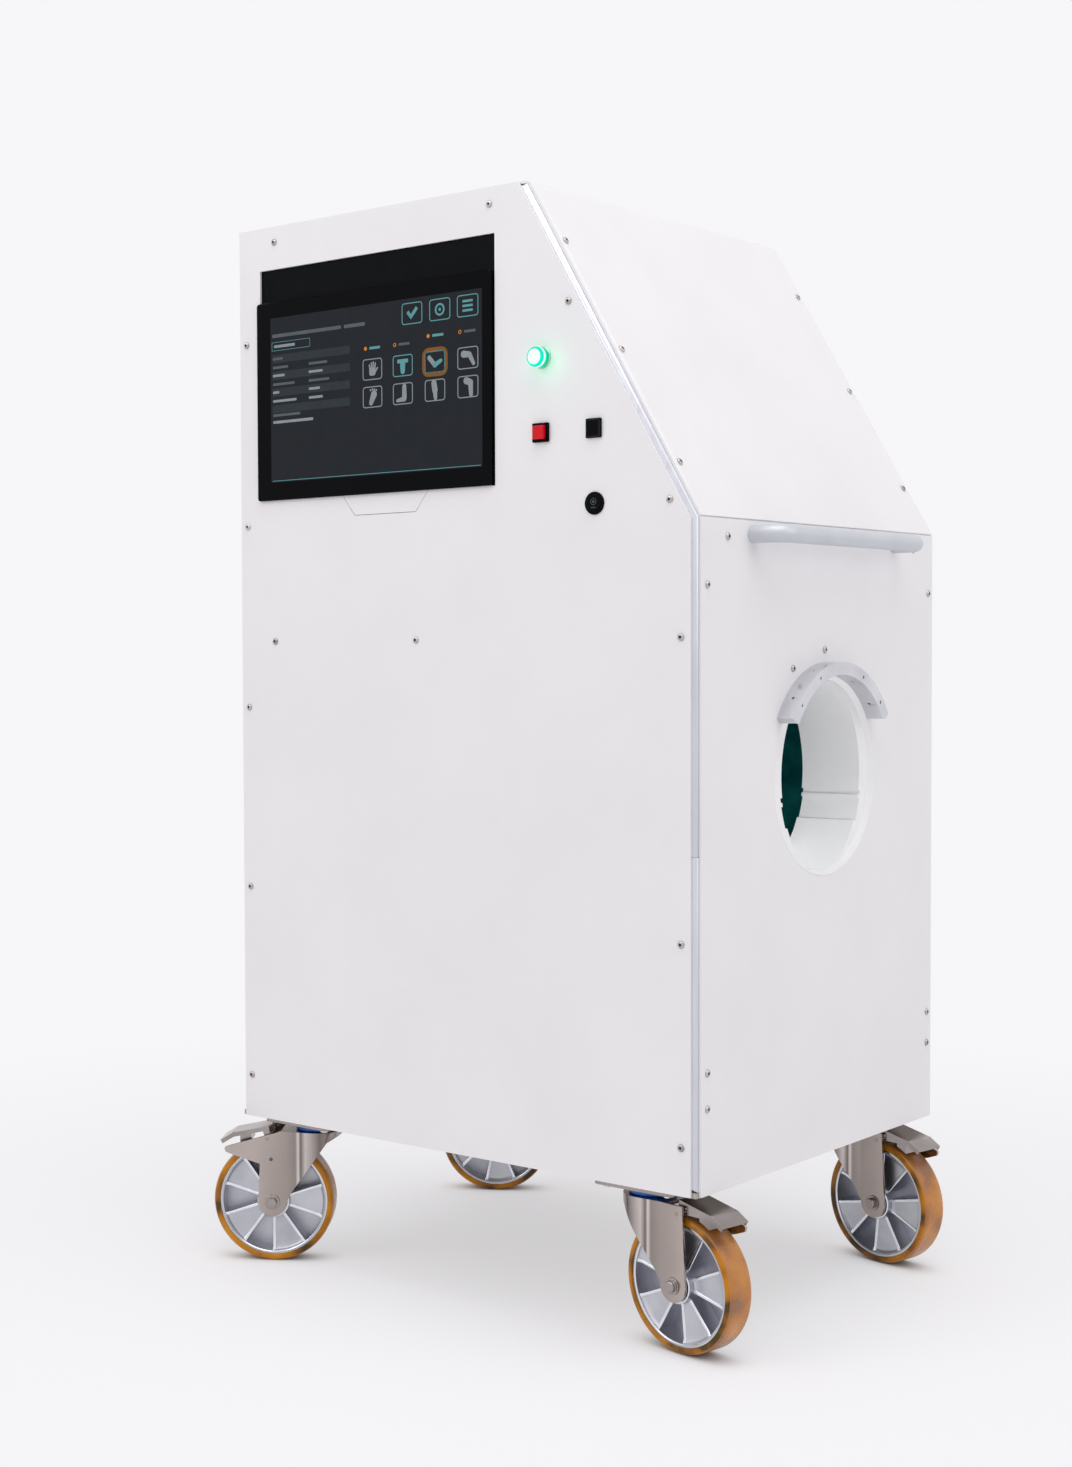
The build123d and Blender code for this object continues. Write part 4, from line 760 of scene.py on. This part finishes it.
def screen_picture():
    """A plain program page: a form on the left, two rows of four limb pictures on the right."""
    low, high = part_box("monitor_glass")
    piece = Piece("screen_picture", [SLATE, STRIP, TEAL, GREY, DIM, AMBER, HALO])
    slate, strip, teal, grey, dim, amber, halo = range(7)
    left_margin, low_margin = 31.5, 29.0
    width, height = 436.0, 265.0
    d = Drawing(piece, Vector((low.x + left_margin * MM, 0, low.z + low_margin * MM)), low.y)
    d.plate(rounded(width / 2, height / 2, width, height, 0.5, 1), slate, 0)

    def bar(u, v, w, h, mark, level=1):
        d.plate(rounded(u + w / 2, v, w, h, min(w, h) * 0.3, 3), mark, level)

    def tile(u, v, w, h, mark):
        d.frame(rounded(u, v, w, h, 5.0), rounded(u, v, w - 3.0, h - 3.0, 3.6), mark, 2)

    # the form: a heading, a boxed field, and lines of it on strips
    bar(4, 236, 150, 5.5, dim)
    bar(160, 236, 44, 5.5, dim)
    for v in (199, 172, 145, 118):
        d.plate(rounded(88, v, 168, 13, 1.0, 2), strip)
    d.frame(rounded(45, 219, 84, 14, 1.5), rounded(45, 219, 82.6, 12.6, 0.9), teal, 2)
    bar(8, 219, 46, 4.4, grey, 2)
    lines = ((199, 22, 0), (185, 34, 40), (172, 26, 30), (158, 48, 44), (145, 14, 24), (131, 52, 30))
    for v, left, right in lines:
        mark = dim if v in (199, 185, 158) else grey
        bar(5, v, left, 4.0, mark, 2)
        if right:
            bar(84, v, right, 4.0, mark, 2)
    bar(5, 108, 60, 4.0, dim, 2)
    bar(5, 97, 88, 4.4, grey, 2)

    # three buttons: a tick, a ring with a dot, and bars
    for u in (300, 355, 409):
        tile(u, 242, 41, 33, teal)
    d.plate([(289, 243), (293, 247), (298, 241), (308, 252), (312, 248), (298, 233)], teal, 2)
    d.frame(rounded(355, 242, 19, 19, 9.4), rounded(355, 242, 13, 13, 6.4), teal, 2)
    d.plate(rounded(355, 242, 5, 5, 2.4), teal, 2)
    for v in (249, 242, 235):
        bar(399, v, 20, 3.6, teal, 2)

    # four choices, of which two are lit
    for u, v, lit in ((205, 197, 1), (265, 197, 0), (332, 204, 1), (394, 204, 0)):
        ring = rounded(u, v, 6, 6, 2.9)
        if lit:
            d.plate(ring, amber, 2)
        else:
            d.frame(ring, rounded(u, v, 3.6, 3.6, 1.7), amber, 2)
        bar(u + 8, v, 22, 4.0, teal if lit else dim, 2)

    # limbs by column and row: two ends from the tile's middle, their radii, colour and level
    limbs = {
        (1, 0): [(0, -9, 0, 2, 4.2, 5.2, teal, 2)],
        (2, 0): [(-11, 7, 0, -5, 3.6, 3.8, grey, 3), (0, -5, 12, 1, 4.0, 2.8, teal, 4)],
        (3, 0): [(-8, 6, 3, 5, 5.4, 4.2, grey, 2), (3, 5, 11, -9, 4.2, 3.0, grey, 3)],
        (0, 1): [(3, 4, -3, -9, 6.0, 4.0, grey, 2)],
        (1, 1): [(3, 11, 3, -6, 4.0, 4.6, grey, 2), (3, -8, -11, -10, 4.2, 2.4, grey, 3)],
        (2, 1): [(-2, 11, 0, 0, 5.0, 5.2, grey, 2), (0, 0, 1, -12, 4.4, 3.2, grey, 3)],
        (3, 1): [(-3, 9, 5, 6, 5.4, 4.8, grey, 2), (5, 6, 6, -12, 4.6, 3.6, grey, 3)],
    }
    for i, u in enumerate((219, 281, 345, 409)):
        for j, v in enumerate((164, 121)):
            chosen = (i, j) == (2, 0)
            if chosen:
                d.plate(rounded(u, v, 50, 44, 12.0), halo, 1)
                d.plate(rounded(u, v, 40, 33, 5.0), slate, 2)
            tile(u, v, 40, 33, teal if chosen or (i, j) == (1, 0) else grey)
            for u1, v1, u2, v2, r1, r2, mark, level in limbs.get((i, j), ()):
                d.plate(capsule((u + u1, v + v1), (u + u2, v + v2), r1, r2), mark, level)
            if (i, j) == (0, 0):
                d.plate(rounded(u, v - 4, 13, 12, 4.0), grey, 2)
                for k, reach in enumerate((7, 10, 11, 9)):
                    root = u - 4.8 + 3.2 * k
                    d.plate(capsule((root, v), (root + (k - 1.5) * 0.9, v + reach), 1.4, 1.2), grey, 3)
                d.plate(capsule((u + 5, v - 5), (u + 10.5, v + 1.5), 1.7, 1.3), grey, 3)
            elif (i, j) == (1, 0):
                d.plate(rounded(u, v + 7, 22, 6, 2.0), teal, 3)
            elif (i, j) == (0, 1):
                for k in range(4):
                    d.plate(rounded(u - 4 + 4.0 * k, v + 12 - abs(k - 1.2), 3.2, 3.2, 1.5), grey, 2)
    bar(3, 2.2, width - 6, 0.9, teal, 2)
    piece.build("cabinet", 30.0)


screen_picture()


# Lamp and controls

# (radius, height) in mm over the lamp's front, and over the panel's face
LENS_PROFILE = [(0, 0), (15, 0), (15, 5.4), (14.9, 8.4), (14.7, 8.8), (14.7, 12.4), (14.9, 12.8),
                (14.6, 15.0), (13.8, 16.4), (12.6, 17.0), (11.4, 17.0), (10.9, 16.7), (0, 16.7)]
LENS_MARKS = [2, 2, 1, 0, 0, 0, 1, 1, 1, 1, 0, 0]
BEZEL_PROFILE = [(0, -34), (11, -34), (11, -7), (15, -7), (15, -4), (11, -4), (11, 0), (16, 0), (16, 1.4),
                 (15.6, 2.4), (14.9, 3.0), (0, 3.0)]
BEZEL_MARKS = [1, 1, 1, 1, 1, 1, 0, 0, 0, 0, 0]


def lamp():
    """The lit lamp: a metal bezel and a moulded lens with a white front, a ring and a side band."""
    low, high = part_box("lamp_lens")
    centre = Vector(((low.x + high.x) / 2, high.y, (low.z + high.z) / 2))
    out = Vector((0, -1, 0))
    piece = Piece("lamp_lens_lit", [LAMP_WHITE, LAMP_RING, LAMP_SIDE])
    piece.lathe([(r * MM, h * MM) for r, h in LENS_PROFILE], centre, out, 64, LENS_MARKS)
    piece.build("cabinet", 50.0, ["lamp_lens"])
    bezel = Piece("lamp_bezel_turned", [LAMP_BEZEL, BLACK])
    seat = Vector((centre.x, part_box("control_panel")[0].y, centre.z))
    bezel.lathe([(r * MM, h * MM) for r, h in BEZEL_PROFILE], seat, out, 64, BEZEL_MARKS)
    bezel.build("cabinet", 40.0, ["lamp_base"])


lamp()


def control_details():
    """The insert's raised edge round its glossy window, and the print on the round button."""
    low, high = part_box("black_insert")
    width, height = (high.x - low.x) / MM, (high.z - low.z) / MM
    middle = Vector(((low.x + high.x) / 2, low.y, (low.z + high.z) / 2))
    back, front = Vector((0, 0.1 * MM, 0)), Vector((0, -0.7 * MM, 0))

    def flat(shape, centre):
        return [centre + Vector((u * MM, 0, v * MM)) for u, v in shape]

    edge = Piece("insert_window", [EDGE, GLASS])
    outer = flat(rounded(0, 0, width - 1.6, height - 1.6, 1.6, 4), middle)
    inner = flat(rounded(0, 0, width - 6.0, height - 6.0, 0.9, 4), middle)
    edge.ring(outer, inner, back, front, 0)
    edge.prism(inner, back, Vector((0, -0.15 * MM, 0)), 1)
    edge.build("cabinet", 30.0)

    low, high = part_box("round_button_cap")
    middle = Vector(((low.x + high.x) / 2, low.y, (low.z + high.z) / 2 + 2.2 * MM))
    back, front = Vector((0, 0.3 * MM, 0)), Vector((0, -0.1 * MM, 0))
    mark = Piece("round_button_mark", [PRINT])
    outer = flat(rounded(0, 0, 10, 10, 4.9, 8), middle)
    inner = flat(rounded(0, 0, 8, 8, 3.9, 8), middle)
    mark.ring(outer, inner, back, front)
    mark.prism(flat(rounded(0, 0, 4.4, 4.4, 2.1, 6), middle), back, front)
    mark.prism(flat(rounded(0, -8.6, 9, 1.4, 0.6, 3), middle), back, front)
    mark.build(joints["round_button_press"]["child"], 30.0)


control_details()


# Camera, as it was fitted to the photograph: where it stands, in metres, and its angles in degrees

CAMERA_PLACE = (2.04103, -2.86139, 1.00054)
CAMERA_AZIMUTH, CAMERA_FALL, CAMERA_ROLL = 40.396, 2.101, -0.284
CAMERA_LENS, CAMERA_SHIFT = 52.33, 0.0927


def camera():
    az, el, roll = math.radians(CAMERA_AZIMUTH), math.radians(CAMERA_FALL), math.radians(CAMERA_ROLL)
    forward = Vector((-math.sin(az) * math.cos(el), math.cos(az) * math.cos(el), -math.sin(el)))
    right = Vector((math.cos(az), math.sin(az), 0))
    up = right.cross(forward)
    right, up = right * math.cos(roll) + up * math.sin(roll), -right * math.sin(roll) + up * math.cos(roll)
    data = bpy.data.cameras.new("camera")
    data.sensor_width = 36.0
    data.lens = CAMERA_LENS
    data.shift_x = CAMERA_SHIFT
    data.clip_end = 100.0
    obj = new_object("camera", data)
    obj.matrix_world = Matrix.Translation(CAMERA_PLACE) @ Matrix((right, up, -forward)).transposed().to_4x4()
    bpy.context.scene.camera = obj


camera()


# Floor, lamps and world

BACKGROUND = srgb(247, 246, 248)


def floor():
    """A wide pale floor that is seen as the background away from the object, and lights nothing itself."""
    size = 30.0
    corners = [(-size, -size, 0), (size, -size, 0), (size, size, 0), (-size, size, 0)]
    mesh = bpy.data.meshes.new("floor")
    mesh.from_pydata(corners, [], [(0, 1, 2, 3)])
    m, tree, shader = new_material("floor_paint", Roughness=0.7, Specular_IOR_Level=0.1)
    shader.inputs["Base Color"].default_value = srgb(250, 249, 251)
    # the seen share of the background's colour, from 0.56 at 0.5 m off the middle to 1 at 2.2 m
    away = tree.nodes.new("ShaderNodeVectorMath")
    away.operation = "LENGTH"
    tree.links.new(place(tree), away.inputs[0])
    fade = spread(tree, away.outputs["Value"], 0.56, 1.0, 0.5, 2.2)
    # painted shadow: the same colour, darker within 70 mm of a tyre's foot, as an ambient occlusion node
    # finds it
    near = tree.nodes.new("ShaderNodeAmbientOcclusion")
    near.inputs["Distance"].default_value = 0.07
    near.samples = 8
    glow = tree.nodes.new("ShaderNodeEmission")
    painted_contact_shadow = ramp(tree, near.outputs["AO"], [(0.1, srgb(20, 24, 26)), (0.8, BACKGROUND)])
    tree.links.new(painted_contact_shadow, glow.inputs["Color"])
    path = tree.nodes.new("ShaderNodeLightPath").outputs
    mirrored = reckoned(tree, "MAXIMUM", path["Is Camera Ray"], path["Is Glossy Ray"])
    looks = reckoned(tree, "MAXIMUM", mirrored, path["Is Transmission Ray"])
    mix = tree.nodes.new("ShaderNodeMixShader")
    tree.links.new(reckoned(tree, "MULTIPLY", fade, looks), mix.inputs[0])
    tree.links.new(shader.outputs[0], mix.inputs[1])
    tree.links.new(glow.outputs[0], mix.inputs[2])
    tree.links.new(mix.outputs[0], tree.nodes["Material Output"].inputs["Surface"])
    mesh.materials.append(m)
    obj = new_object("floor", mesh)


def world():
    """Soft light from all round, and a pale background for the camera, reflections and what shows through."""
    w = bpy.data.worlds.new("studio")
    bpy.context.scene.world = w
    w.use_nodes = True
    tree = w.node_tree
    seen = tree.nodes.new("ShaderNodeBackground")
    seen.inputs["Color"].default_value = BACKGROUND
    soft = tree.nodes["Background"]
    soft.inputs["Color"].default_value = (1.0, 0.99, 1.0, 1.0)
    soft.inputs["Strength"].default_value = 0.57
    path = tree.nodes.new("ShaderNodeLightPath")
    light = soft.outputs[0]
    for ray in ("Is Glossy Ray", "Is Transmission Ray", "Is Camera Ray"):
        mix = tree.nodes.new("ShaderNodeMixShader")
        tree.links.new(path.outputs[ray], mix.inputs[0])
        tree.links.new(light, mix.inputs[1])
        tree.links.new(seen.outputs[0], mix.inputs[2])
        light = mix.outputs[0]
    tree.links.new(light, tree.nodes["World Output"].inputs["Surface"])


def area_lamp(name, place_at, aim, side, power):
    """A square lamp that looks at a point; places and side in metres, power in watts."""
    data = bpy.data.lights.new(name, "AREA")
    data.shape = "RECTANGLE"
    data.size = data.size_y = side
    data.energy = power
    toward = (Vector(place_at) - Vector(aim)).to_track_quat("Z", "Y").to_matrix().to_4x4()
    new_object(name, data).matrix_world = Matrix.Translation(place_at) @ toward


def point_lamp(name, place_at, power, size):
    """A small round lamp."""
    data = bpy.data.lights.new(name, "POINT")
    data.energy = power
    data.shadow_soft_size = size
    obj = new_object(name, data)
    obj.location = place_at
    return obj


def bore_fill():
    """Light inside the bore, as it scatters in from the white liner's open end."""
    low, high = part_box("bore_liner")
    inside = (high.x - 0.10, (low.y + high.y) / 2 - 0.02, (low.z + high.z) / 2 - 0.08)
    obj = point_lamp("bore_fill", inside, 0.21, 0.05)
    obj.visible_camera = False
    obj.visible_glossy = False


def lamp_glow():
    """The green light that the lamp throws on the panel round it."""
    low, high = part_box("lamp_lens")
    before = ((low.x + high.x) / 2 + 0.008, low.y - 0.008, (low.z + high.z) / 2 - 0.008)
    obj = point_lamp("lamp_glow", before, 0.011, 0.004)
    obj.data.color = (0.1, 1.0, 0.45)
    obj.data.use_shadow = False


floor()
world()
lamp_glow()
bore_fill()
area_lamp("key", (-2.4, -4.4, 4.2), (0, 0, 1.3), 3.0, 58)
area_lamp("top", (1.3, -0.9, 4.7), (0.2, 0, 1.4), 3.5, 66)
area_lamp("side", (4.4, 1.2, 2.8), (0.3, 0, 1.1), 2.5, 22)

bpy.context.scene.view_settings.view_transform = "Standard"
